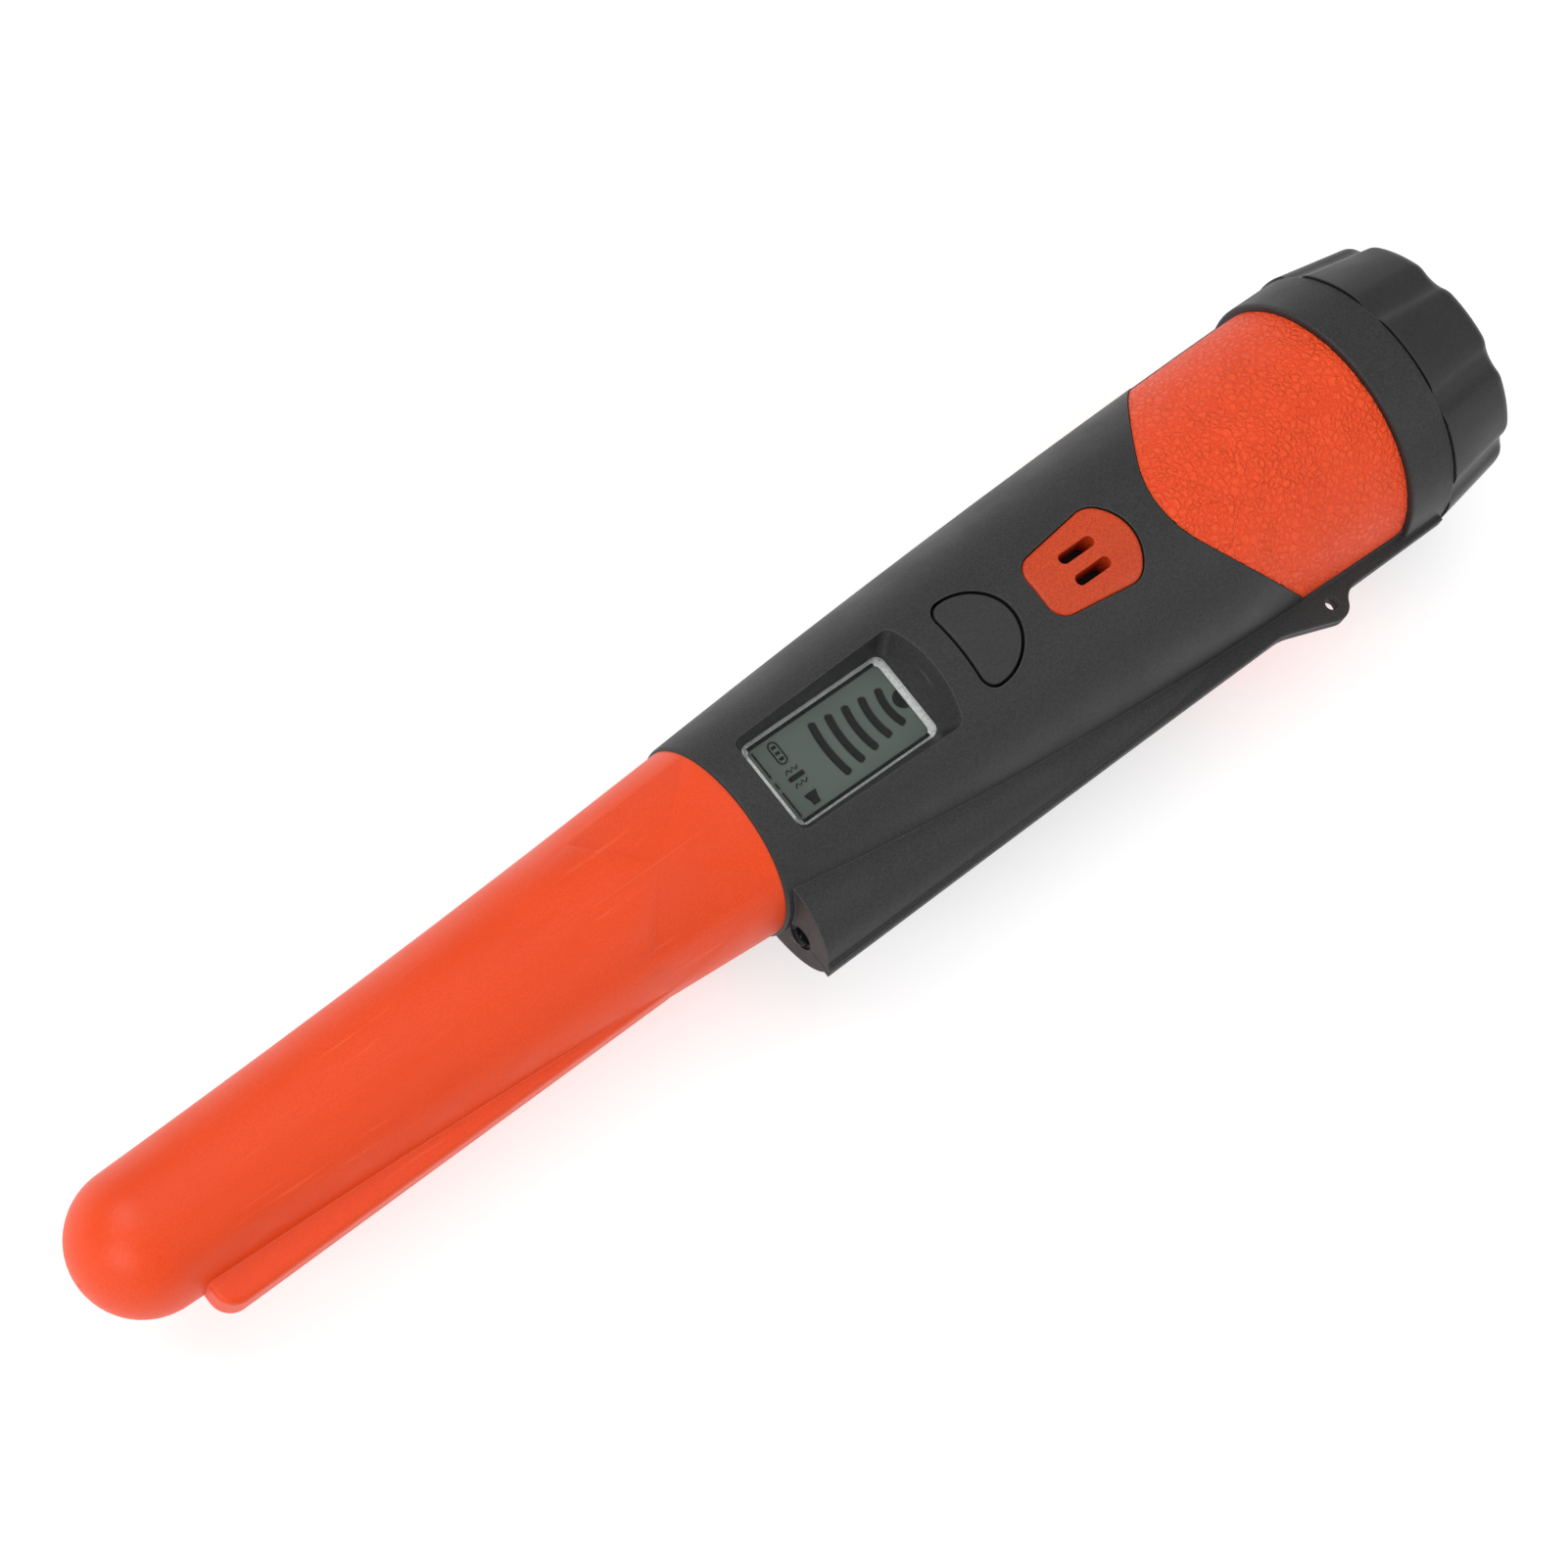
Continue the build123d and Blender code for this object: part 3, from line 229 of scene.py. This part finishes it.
def leather_rubber(name):
    """The grip's orange rubber with a leather grain: warped pebbles, fading creases and pores, with painted
    shade in the creases and a painted highlight on edges.
    """
    colour = (0.83, 0.066, 0.007)
    material, tree, shader = shader_tree(name)
    where = place(tree)
    warp = add_node(tree, "ShaderNodeTexNoise", Scale=1 / (1.6 * MM), Detail=3.0)
    link(tree, where, warp.inputs["Vector"])
    offset = add_node(tree, "ShaderNodeVectorMath", operation="SCALE", Scale=1.3 * MM)
    link(tree, warp.outputs["Color"], offset.inputs[0])
    bent = add_node(tree, "ShaderNodeVectorMath", operation="ADD")
    link(tree, where, bent.inputs[0])
    link(tree, offset.outputs[0], bent.inputs[1])
    heights = []
    for size, crease in ((1.15 * MM, 0.3), (0.55 * MM, 0.3)):
        cells = add_node(tree, "ShaderNodeTexVoronoi", feature="DISTANCE_TO_EDGE", Scale=1 / size)
        link(tree, bent.outputs[0], cells.inputs["Vector"])
        heights.append(remap(tree, cells.outputs["Distance"], 0.0, crease))
    pebbles, small = heights
    patches = remap(tree, noise(tree, where, 5 * MM), 0.35, 0.65, 0.45, 1.0)
    relief = math_node(tree, "MULTIPLY", pebbles, patches)
    relief = math_node(tree, "ADD", relief, math_node(tree, "MULTIPLY", small, 0.3))
    pores = noise(tree, where, 0.16 * MM, detail=2.0)
    relief = math_node(tree, "ADD", relief, math_node(tree, "MULTIPLY", pores, 0.3))
    clouds = noise(tree, where, 7 * MM, detail=4.0)
    base = blend_colours(tree, clouds, tint(colour, 0.94), (0.92, 0.085, 0.014))
    # painted shade: the grain's creases darker
    crease_shade = remap(tree, relief, 0.1, 0.75, 0.3, 1.0)
    base = blend_colours(tree, crease_shade, (0.72, 0.045, 0.004), base)
    edges, rounded = edge_mask(tree, 0.2 * MM)
    # painted highlight: paler orange along edges
    base = blend_colours(tree, edges, base, (0.9, 0.13, 0.035))
    link(tree, base, shader.inputs["Base Color"])
    rough = remap(tree, pebbles, 0.0, 1.0, 0.6, 0.44)
    link(tree, rough, shader.inputs["Roughness"])
    link(tree, bump(tree, relief, 0.23 * MM, rounded), shader.inputs["Normal"])
    shader.inputs["Specular IOR Level"].default_value = 0.35
    return material


def clear_plastic(name, roughness=0.02, tone=(0.96, 0.97, 0.97)):
    """A clear window or lens: what is behind shows through, under the gloss of a polished surface."""
    material, tree, shader = shader_tree(name)
    output = tree.nodes["Material Output"]
    through = add_node(tree, "ShaderNodeBsdfTransparent")
    through.inputs["Color"].default_value = (*tone, 1.0)
    shader.inputs["Base Color"].default_value = (1.0, 1.0, 1.0, 1.0)
    shader.inputs["Metallic"].default_value = 1.0
    shader.inputs["Roughness"].default_value = roughness
    mix = add_node(tree, "ShaderNodeMixShader")
    gloss = add_node(tree, "ShaderNodeFresnel", IOR=1.13)
    smears = remap(tree, noise(tree, place(tree), 6 * MM), 0.35, 0.75, 0.75, 1.0)
    link(tree, math_node(tree, "MULTIPLY", gloss.outputs[0], smears), mix.inputs[0])
    link(tree, through.outputs[0], mix.inputs[1])
    link(tree, shader.outputs[0], mix.inputs[2])
    link(tree, mix.outputs[0], output.inputs["Surface"])
    return material


def lcd_glass(name):
    """The display's grey-green glass, slightly cloudy."""
    material, tree, shader = shader_tree(name)
    where = place(tree)
    clouds = noise(tree, where, 12 * MM, detail=2.0)
    fine = noise(tree, where, 0.2 * MM, detail=1.0)
    base = blend_colours(tree, clouds, (0.085, 0.1, 0.09), (0.125, 0.15, 0.128))
    link(tree, base, shader.inputs["Base Color"])
    rough = remap(tree, fine, 0.3, 0.7, 0.3, 0.4)
    link(tree, rough, shader.inputs["Roughness"])
    shader.inputs["Specular IOR Level"].default_value = 0.15
    return material


def metal(name, colour, roughness=0.28, brushed=(0.15, 1.0, 1.0)):
    """Plated or drawn metal: a fine directional brushing and cloudy tarnish."""
    material, tree, shader = shader_tree(name)
    where = place(tree)
    clouds = noise(tree, where, 3 * MM, detail=4.0)
    lines = noise(tree, where, 0.12 * MM, detail=2.0, stretch=brushed)
    base = blend_colours(tree, clouds, tint(colour, 0.82), colour)
    link(tree, base, shader.inputs["Base Color"])
    rough = remap(tree, clouds, 0.3, 0.7, roughness - 0.06, roughness + 0.1)
    link(tree, rough, shader.inputs["Roughness"])
    rounded = edge_mask(tree, 0.1 * MM)[1]
    link(tree, bump(tree, lines, 0.004 * MM, rounded), shader.inputs["Normal"])
    shader.inputs["Metallic"].default_value = 1.0
    return material


def winding(name):
    """Enamelled copper wire laid side by side along the bobbin."""
    material, tree, shader = shader_tree(name)
    where = place(tree)
    turns = add_node(tree, "ShaderNodeTexWave", bands_direction="X", Scale=WAVE_SCALE / (0.35 * MM))
    link(tree, where, turns.inputs["Vector"])
    clouds = noise(tree, where, 2 * MM)
    base = blend_colours(tree, clouds, (0.42, 0.13, 0.045), (0.62, 0.22, 0.08))
    link(tree, base, shader.inputs["Base Color"])
    link(tree, remap(tree, clouds, 0.3, 0.7, 0.25, 0.36), shader.inputs["Roughness"])
    link(tree, bump(tree, turns.outputs["Fac"], 0.1 * MM), shader.inputs["Normal"])
    shader.inputs["Metallic"].default_value = 0.75
    return material


def circuit_board(name):
    """Green solder mask over copper tracks that show as a faint paler relief."""
    material, tree, shader = shader_tree(name)
    where = place(tree)
    tracks = add_node(
        tree, "ShaderNodeTexVoronoi", feature="DISTANCE_TO_EDGE", Scale=1 / (3.2 * MM)
    )
    link(tree, where, tracks.inputs["Vector"])
    lines = remap(tree, tracks.outputs["Distance"], 0.1, 0.05)
    fine = noise(tree, where, 0.2 * MM)
    base = blend_colours(tree, lines, (0.012, 0.09, 0.03), (0.03, 0.17, 0.06))
    link(tree, base, shader.inputs["Base Color"])
    link(tree, remap(tree, fine, 0.3, 0.7, 0.3, 0.42), shader.inputs["Roughness"])
    link(tree, bump(tree, lines, 0.03 * MM), shader.inputs["Normal"])
    return material


def foam(name, colour):
    """Cut foam: open cells with soft walls."""
    cell = 0.5 * MM
    material, tree, shader = shader_tree(name)
    where = place(tree)
    cells = add_node(tree, "ShaderNodeTexVoronoi", feature="F1", Scale=1 / cell)
    link(tree, where, cells.inputs["Vector"])
    base = blend_colours(tree, cells.outputs["Distance"], colour, tint(colour, 0.7))
    link(tree, base, shader.inputs["Base Color"])
    link(tree, bump(tree, cells.outputs["Distance"], 0.08 * MM), shader.inputs["Normal"])
    link(tree, remap(tree, cells.outputs["Distance"], 0.0, 1.0, 0.85, 0.95), shader.inputs["Roughness"])
    return material


def woven_mesh(name):
    """The black cloth behind the speaker's slots: a fine plain weave."""
    material, tree, shader = shader_tree(name)
    where = place(tree)
    threads = []
    for direction in ("X", "Y"):
        wave = add_node(
            tree, "ShaderNodeTexWave", bands_direction=direction, Scale=WAVE_SCALE / (0.3 * MM)
        )
        link(tree, where, wave.inputs["Vector"])
        threads.append(wave.outputs["Fac"])
    weave = math_node(tree, "MULTIPLY", threads[0], threads[1])
    base = blend_colours(tree, weave, (0.004, 0.004, 0.004), (0.03, 0.03, 0.031))
    link(tree, base, shader.inputs["Base Color"])
    link(tree, remap(tree, weave, 0.0, 1.0, 0.9, 0.7), shader.inputs["Roughness"])
    link(tree, bump(tree, weave, 0.06 * MM), shader.inputs["Normal"])
    return material


def ink(name, colour, roughness=0.5):
    """A thin printed or switched-on layer, or a painted shadow line, slightly uneven in density."""
    material, tree, shader = shader_tree(name)
    density = noise(tree, place(tree), 0.5 * MM, detail=3.0)
    base = blend_colours(tree, density, tint(colour, 0.85), tint(colour, 1.15))
    link(tree, base, shader.inputs["Base Color"])
    link(tree, remap(tree, density, 0.3, 0.7, roughness, roughness + 0.08), shader.inputs["Roughness"])
    shader.inputs["Specular IOR Level"].default_value = 0.15
    return material


MATERIALS = {
    "probe_plastic": scuffed_probe("probe_plastic"),
    "rubber_seal": moulded("rubber_seal", (0.012, 0.012, 0.013), 0.55, depth=0.01 * MM),
    "ferrite": moulded("ferrite", (0.03, 0.03, 0.033), 0.45, grain=0.15 * MM, depth=0.03 * MM),
    "bobbin_plastic": moulded("bobbin_plastic", (0.5, 0.42, 0.28), 0.45),
    "copper_winding": winding("copper_winding"),
    "shell_plastic": moulded(
        "shell_plastic",
        (0.032, 0.032, 0.0325),
        0.52,
        grain=0.32 * MM,
        depth=0.04 * MM,
        speckle=0.38,
        edge_highlight=4.0,
    ),
    "grip_rubber": leather_rubber("grip_rubber"),
    "clear_lens": clear_plastic("clear_lens"),
    "white_foam": foam("white_foam", (0.8, 0.8, 0.78)),
    "lcd_glass": lcd_glass("lcd_glass"),
    "backlight_plastic": moulded("backlight_plastic", (0.75, 0.78, 0.76), 0.4),
    "button_plastic": moulded("button_plastic", (0.038, 0.038, 0.039), 0.55, depth=0.02 * MM, edge_highlight=2.2),
    "switch_metal": metal("switch_metal", (0.7, 0.7, 0.69)),
    "cover_plastic": moulded("cover_plastic", (0.72, 0.066, 0.009), 0.45, depth=0.012 * MM, edge_highlight=1.15),
    "black_mesh": woven_mesh("black_mesh"),
    "buzzer_plastic": moulded("buzzer_plastic", (0.015, 0.015, 0.016), 0.4),
    "lamp_lens": clear_plastic("lamp_lens", 0.06, (0.86, 0.88, 0.9)),
    "board_green": circuit_board("board_green"),
    "chip_plastic": moulded("chip_plastic", (0.014, 0.014, 0.015), 0.4, grain=0.1 * MM),
    "screw_steel": metal("screw_steel", (0.6, 0.6, 0.6)),
    "weight_metal": metal("weight_metal", (0.5, 0.48, 0.44), 0.35),
    "tube_plastic": moulded("tube_plastic", (0.35, 0.35, 0.34), 0.5),
    "battery_case": moulded("battery_case", (0.05, 0.1, 0.19), 0.32, depth=0.004 * MM),
    "cap_plastic": moulded("cap_plastic", (0.03, 0.03, 0.031), 0.44, depth=0.014 * MM, edge_highlight=2.2),
    "black_foam": foam("black_foam", (0.03, 0.03, 0.03)),
}


def finish_nodes():
    """Every CAD node takes the material of its slot in the record."""
    for part in frame["record"]["subparts"]:
        data = frame["nodes"][part["node"]].data
        data.materials.clear()
        data.materials.append(MATERIALS[part["material_slot"]])


finish_nodes()

# ---------------------------------------------------------------- display markings and painted edge shadow

PANEL_LOW, PANEL_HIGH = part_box("display_panel")
PANEL_CENTRE = (PANEL_LOW + PANEL_HIGH) / 2
INK_HEIGHT = 0.04 * MM
INK_TOP = PANEL_HIGH.z + INK_HEIGHT

BAR_COUNT = 5
BAR_WIDTH = 1.25 * MM
BAR_PITCH = 2.78 * MM
BAR_CENTRE = 16.9 * MM
BAR_FIRST_RADIUS = 18.9 * MM
BAR_HALF_CHORD = 4.5 * MM
BAR_CHORD_STEP = 0.34 * MM
BAR_CORNER = 0.28 * MM
SOURCE_RADIUS = 1.5 * MM

BATTERY_CENTRE = (-8.2 * MM, 3.6 * MM)
BUZZ_CENTRE = (-8.1 * MM, -0.55 * MM)
SPEAKER_CENTRE = (-8.1 * MM, -4.35 * MM)


def flat_piece(name, loops, top, height, material, body="handle"):
    """One thin piece of print or painted shadow: each loop of points, in metres from the panel's centre,
    becomes a low prism.
    """
    mesh = bmesh.new()
    for loop in loops:
        rings = []
        for level in (top - height, top):
            rings.append([mesh.verts.new((PANEL_CENTRE.x + x, PANEL_CENTRE.y + y, level)) for x, y in loop])
        mesh.faces.new(rings[1])
        mesh.faces.new(rings[0][::-1])
        for i in range(len(loop)):
            j = (i + 1) % len(loop)
            mesh.faces.new((rings[0][i], rings[0][j], rings[1][j], rings[1][i]))
    bmesh.ops.recalc_face_normals(mesh, faces=mesh.faces)
    data = bpy.data.meshes.new(name)
    mesh.to_mesh(data)
    mesh.free()
    piece = bpy.data.objects.new(name, data)
    bpy.context.scene.collection.objects.link(piece)
    piece.data.materials.append(material)
    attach(piece, body)
    return piece


def rounded_loop(corners, radius, steps=5):
    """A closed outline with every corner rounded by an arc of about the given radius."""
    points = []
    count = len(corners)
    for i, corner in enumerate(corners):
        here = Vector(corner)
        before = (Vector(corners[i - 1]) - here).normalized()
        after = (Vector(corners[(i + 1) % count]) - here).normalized()
        for k in range(steps + 1):
            t = k / steps
            start = here + before * radius
            end = here + after * radius
            points.append(tuple(start * (1 - t) ** 2 + here * 2 * t * (1 - t) + end * t**2))
    return points


def arc_bar(radius, half_chord):
    """A bar that follows an arc about the markings' source, with rounded ends."""
    spread = math.asin(half_chord / radius)
    outline = []
    steps = 20
    for side in (1, -1):
        edge = radius + side * BAR_WIDTH / 2
        cut = BAR_CORNER / edge
        angles = [(-spread + cut) + (2 * (spread - cut)) * i / steps for i in range(steps + 1)]
        if side < 0:
            angles.reverse()
        for angle in angles:
            outline.append((BAR_CENTRE - edge * math.cos(angle), edge * math.sin(angle)))
        end = angles[-1] + side * cut
        inner = edge - side * BAR_CORNER
        outline.append((BAR_CENTRE - inner * math.cos(end), inner * math.sin(end)))
        inner = radius - side * (BAR_WIDTH / 2 - BAR_CORNER)
        outline.append((BAR_CENTRE - inner * math.cos(end), inner * math.sin(end)))
    return outline


def signal_bars():
    """Five arcs that narrow towards their source, and the source's half disc."""
    loops = []
    for i in range(BAR_COUNT):
        loops.append(arc_bar(BAR_FIRST_RADIUS - i * BAR_PITCH, BAR_HALF_CHORD - i * BAR_CHORD_STEP))
    edge = PANEL_HIGH.x - PANEL_CENTRE.x
    steps = 24
    disc = []
    for i in range(steps + 1):
        angle = math.radians(90 + 180 * i / steps)
        disc.append((edge + SOURCE_RADIUS * math.cos(angle), SOURCE_RADIUS * math.sin(angle)))
    loops.append(disc)
    return loops


def battery_icon():
    """A battery outline with three cells, lying across the display."""
    cx, cy = BATTERY_CENTRE
    half_width, half_length, wall = 0.72 * MM, 1.75 * MM, 0.24 * MM
    chamfer = 0.45 * MM
    outer = [
        (cx - half_width, cy - half_length + chamfer),
        (cx - half_width + chamfer, cy - half_length),
        (cx + half_width - chamfer, cy - half_length),
        (cx + half_width, cy - half_length + chamfer),
        (cx + half_width, cy + half_length - chamfer),
        (cx + half_width - chamfer, cy + half_length),
        (cx - half_width + chamfer, cy + half_length),
        (cx - half_width, cy + half_length - chamfer),
    ]
    loops = []
    for i, point in enumerate(outer):
        other = outer[(i + 1) % len(outer)]
        loops.append(stroke([point, other], wall))
    cell_pitch, cell_half_x, cell_half_y = 0.95 * MM, 0.38 * MM, 0.24 * MM
    for i in (-1, 0, 1):
        loops.append(block(cx, cy + i * cell_pitch, cell_half_x, cell_half_y))
    return loops


def block(cx, cy, half_x, half_y):
    """A rectangle's corners about its centre."""
    return [
        (cx - half_x, cy - half_y),
        (cx + half_x, cy - half_y),
        (cx + half_x, cy + half_y),
        (cx - half_x, cy + half_y),
    ]


def stroke(points, width):
    """A line of the given width through the points, as one closed outline."""
    left, right = [], []
    for i, point in enumerate(points):
        here = Vector(point)
        before = Vector(points[max(i - 1, 0)])
        after = Vector(points[min(i + 1, len(points) - 1)])
        along = (after - before).normalized()
        across = Vector((-along.y, along.x)) * width / 2
        left.append(tuple(here + across))
        right.append(tuple(here - across))
    return left + right[::-1]


def buzz_icon():
    """A vibration mark: a bar with a wavy line on each side."""
    cx, cy = BUZZ_CENTRE
    loops = [rounded_loop(block(cx, cy, 1.35 * MM, 0.38 * MM), 0.2 * MM)]
    wave_offset, wave_height, wave_step = 1.15 * MM, 0.28 * MM, 0.45 * MM
    for side in (-1, 1):
        points = []
        for i in range(6):
            lean = wave_height if i % 2 else -wave_height
            points.append((cx + (i - 2.5) * wave_step, cy + side * wave_offset + lean))
        loops.append(stroke(points, 0.24 * MM))
    return loops


def speaker_icon():
    """A loudspeaker: a flared mouth on a small block."""
    cx, cy = SPEAKER_CENTRE
    mouth, throat, tail = 1.07 * MM, 0.76 * MM, 0.66 * MM
    top, waist, bottom = 0.95 * MM, 0.0, -0.95 * MM
    outline = [
        (cx - mouth, cy + top),
        (cx - throat, cy + waist),
        (cx - tail, cy + waist),
        (cx - tail, cy + bottom),
        (cx + tail, cy + bottom),
        (cx + tail, cy + waist),
        (cx + throat, cy + waist),
        (cx + mouth, cy + top),
    ]
    return [outline]


def panel_edge_shadow():
    """A painted shadow along the front edge of the display's glass, broken twice into three dashes."""
    x = PANEL_LOW.x - PANEL_CENTRE.x + 0.55 * MM
    half_width = 0.17 * MM
    loops = []
    for low, high in ((1.2, 5.6), (-0.75, 0.3), (-5.6, -1.35)):
        loops.append(block(x, (low + high) / 2 * MM, half_width, (high - low) / 2 * MM))
    return loops


def panel_side_strips():
    """Dark lines along the display glass's two long sides."""
    y = PANEL_HIGH.y - PANEL_CENTRE.y + 0.28 * MM
    half_length = PANEL_HIGH.x - PANEL_CENTRE.x - 0.3 * MM
    return [block(0, side * y, half_length, 0.26 * MM) for side in (-1, 1)]


LCD_BLACK = ink("lcd_black", (0.012, 0.0115, 0.0125), 0.7)
# black for the painted shadow at the glass's front edge and for the dark lines along its long sides
EDGE_LINE_BLACK = ink("edge_line_black", (0.012, 0.012, 0.013))
for piece_name, piece_loops, piece_ink in (
    ("display_signal_bars", signal_bars(), LCD_BLACK),
    ("display_battery_mark", battery_icon(), LCD_BLACK),
    ("display_buzz_mark", buzz_icon(), LCD_BLACK),
    ("display_speaker_mark", speaker_icon(), LCD_BLACK),
    # painted shadow: dark dashes at the display glass's front edge
    ("display_glass_edge_shadow", panel_edge_shadow(), EDGE_LINE_BLACK),
):
    marking = flat_piece(piece_name, piece_loops, INK_TOP, INK_HEIGHT, piece_ink)

LENS_LOW, LENS_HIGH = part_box("display_window")
side_lines = flat_piece(
    "display_side_lines", panel_side_strips(), LENS_LOW.z + INK_HEIGHT, INK_HEIGHT, EDGE_LINE_BLACK
)

# ---------------------------------------------------------------- floor, light, camera

FLOOR_GAP = 0.1 * MM
FLOOR_SIZE = 6.0
FLOOR_GLOW = 0.48
WORLD_STRENGTH = 0.5
CAMERA_LEAN, CAMERA_TILT, CAMERA_ROLL = 23.5, 9.7, 34.65
CAMERA_LENS, CAMERA_SENSOR = 118.9, 36
CAMERA_PLACE = (-0.4124, -0.1103, 0.65335)
low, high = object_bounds()
CENTRE = (low + high) / 2


def floor():
    """A plain pale floor with the faintest unevenness."""
    level = low.z - FLOOR_GAP
    data = bpy.data.meshes.new("floor")
    half = FLOOR_SIZE / 2
    corners = [(-half, -half), (half, -half), (half, half), (-half, half)]
    data.from_pydata([(CENTRE.x + x, CENTRE.y + y, level) for x, y in corners], [], [(0, 1, 2, 3)])
    obj = bpy.data.objects.new("floor", data)
    bpy.context.scene.collection.objects.link(obj)
    material, tree, shader = shader_tree("floor_pale")
    clouds = noise(tree, place(tree), 0.3)
    base = blend_colours(tree, clouds, (0.68, 0.68, 0.68), (0.7, 0.7, 0.7))
    link(tree, base, shader.inputs["Base Color"])
    shader.inputs["Roughness"].default_value = 0.9
    shader.inputs["Specular IOR Level"].default_value = 0.0
    shader.inputs["Emission Color"].default_value = (1.0, 1.0, 1.0, 1.0)
    shader.inputs["Emission Strength"].default_value = FLOOR_GLOW
    data.materials.append(material)


def soft_box(name, azimuth, elevation, distance, size, power):
    """An area lamp aimed at the middle of the object."""
    data = bpy.data.lights.new(name, "AREA")
    data.shape = "RECTANGLE"
    data.size, data.size_y = size
    data.energy = power
    obj = bpy.data.objects.new(name, data)
    a, e = math.radians(azimuth), math.radians(elevation)
    away = Vector((math.cos(a) * math.cos(e), math.sin(a) * math.cos(e), math.sin(e)))
    obj.location = CENTRE + away * distance
    obj.rotation_mode = "QUATERNION"
    obj.rotation_quaternion = away.to_track_quat("Z", "Y")
    bpy.context.scene.collection.objects.link(obj)


def studio():
    """White surroundings and four soft boxes."""
    world = bpy.data.worlds.new("studio")
    world.use_nodes = True
    background = world.node_tree.nodes["Background"]
    background.inputs["Color"].default_value = (1.0, 1.0, 1.0, 1.0)
    background.inputs["Strength"].default_value = WORLD_STRENGTH
    bpy.context.scene.world = world
    soft_box("key", 120, 50, 1.2, (0.9, 0.6), 5)
    soft_box("fill", -50, 40, 1.3, (0.8, 0.8), 3)
    soft_box("top", 60, 82, 1.3, (0.9, 0.9), 2.6)
    soft_box("front", 190, 30, 1.2, (0.7, 0.5), 5)


def camera():
    """A long lens above the object, turned so that the object runs up to the right."""
    lean, tilt, roll = (math.radians(a) for a in (CAMERA_LEAN, CAMERA_TILT, CAMERA_ROLL))
    forward = Vector(
        (math.sin(lean), math.cos(lean) * math.sin(tilt), -math.cos(lean) * math.cos(tilt))
    )
    along = Vector(
        (math.cos(lean), -math.sin(lean) * math.sin(tilt), math.sin(lean) * math.cos(tilt))
    )
    across = Vector((0, -math.cos(tilt), -math.sin(tilt)))
    right = along * math.cos(roll) + across * math.sin(roll)
    up = along * math.sin(roll) - across * math.cos(roll)
    turn = Matrix((right, up, -forward)).transposed().to_4x4()
    data = bpy.data.cameras.new("camera")
    data.lens = CAMERA_LENS
    data.sensor_width = CAMERA_SENSOR
    data.clip_start, data.clip_end = 0.01, 20
    obj = bpy.data.objects.new("camera", data)
    bpy.context.scene.collection.objects.link(obj)
    obj.matrix_world = Matrix.Translation(Vector(CAMERA_PLACE)) @ turn
    bpy.context.scene.camera = obj


floor()
studio()
camera()
bpy.context.scene.view_settings.view_transform = "Standard"
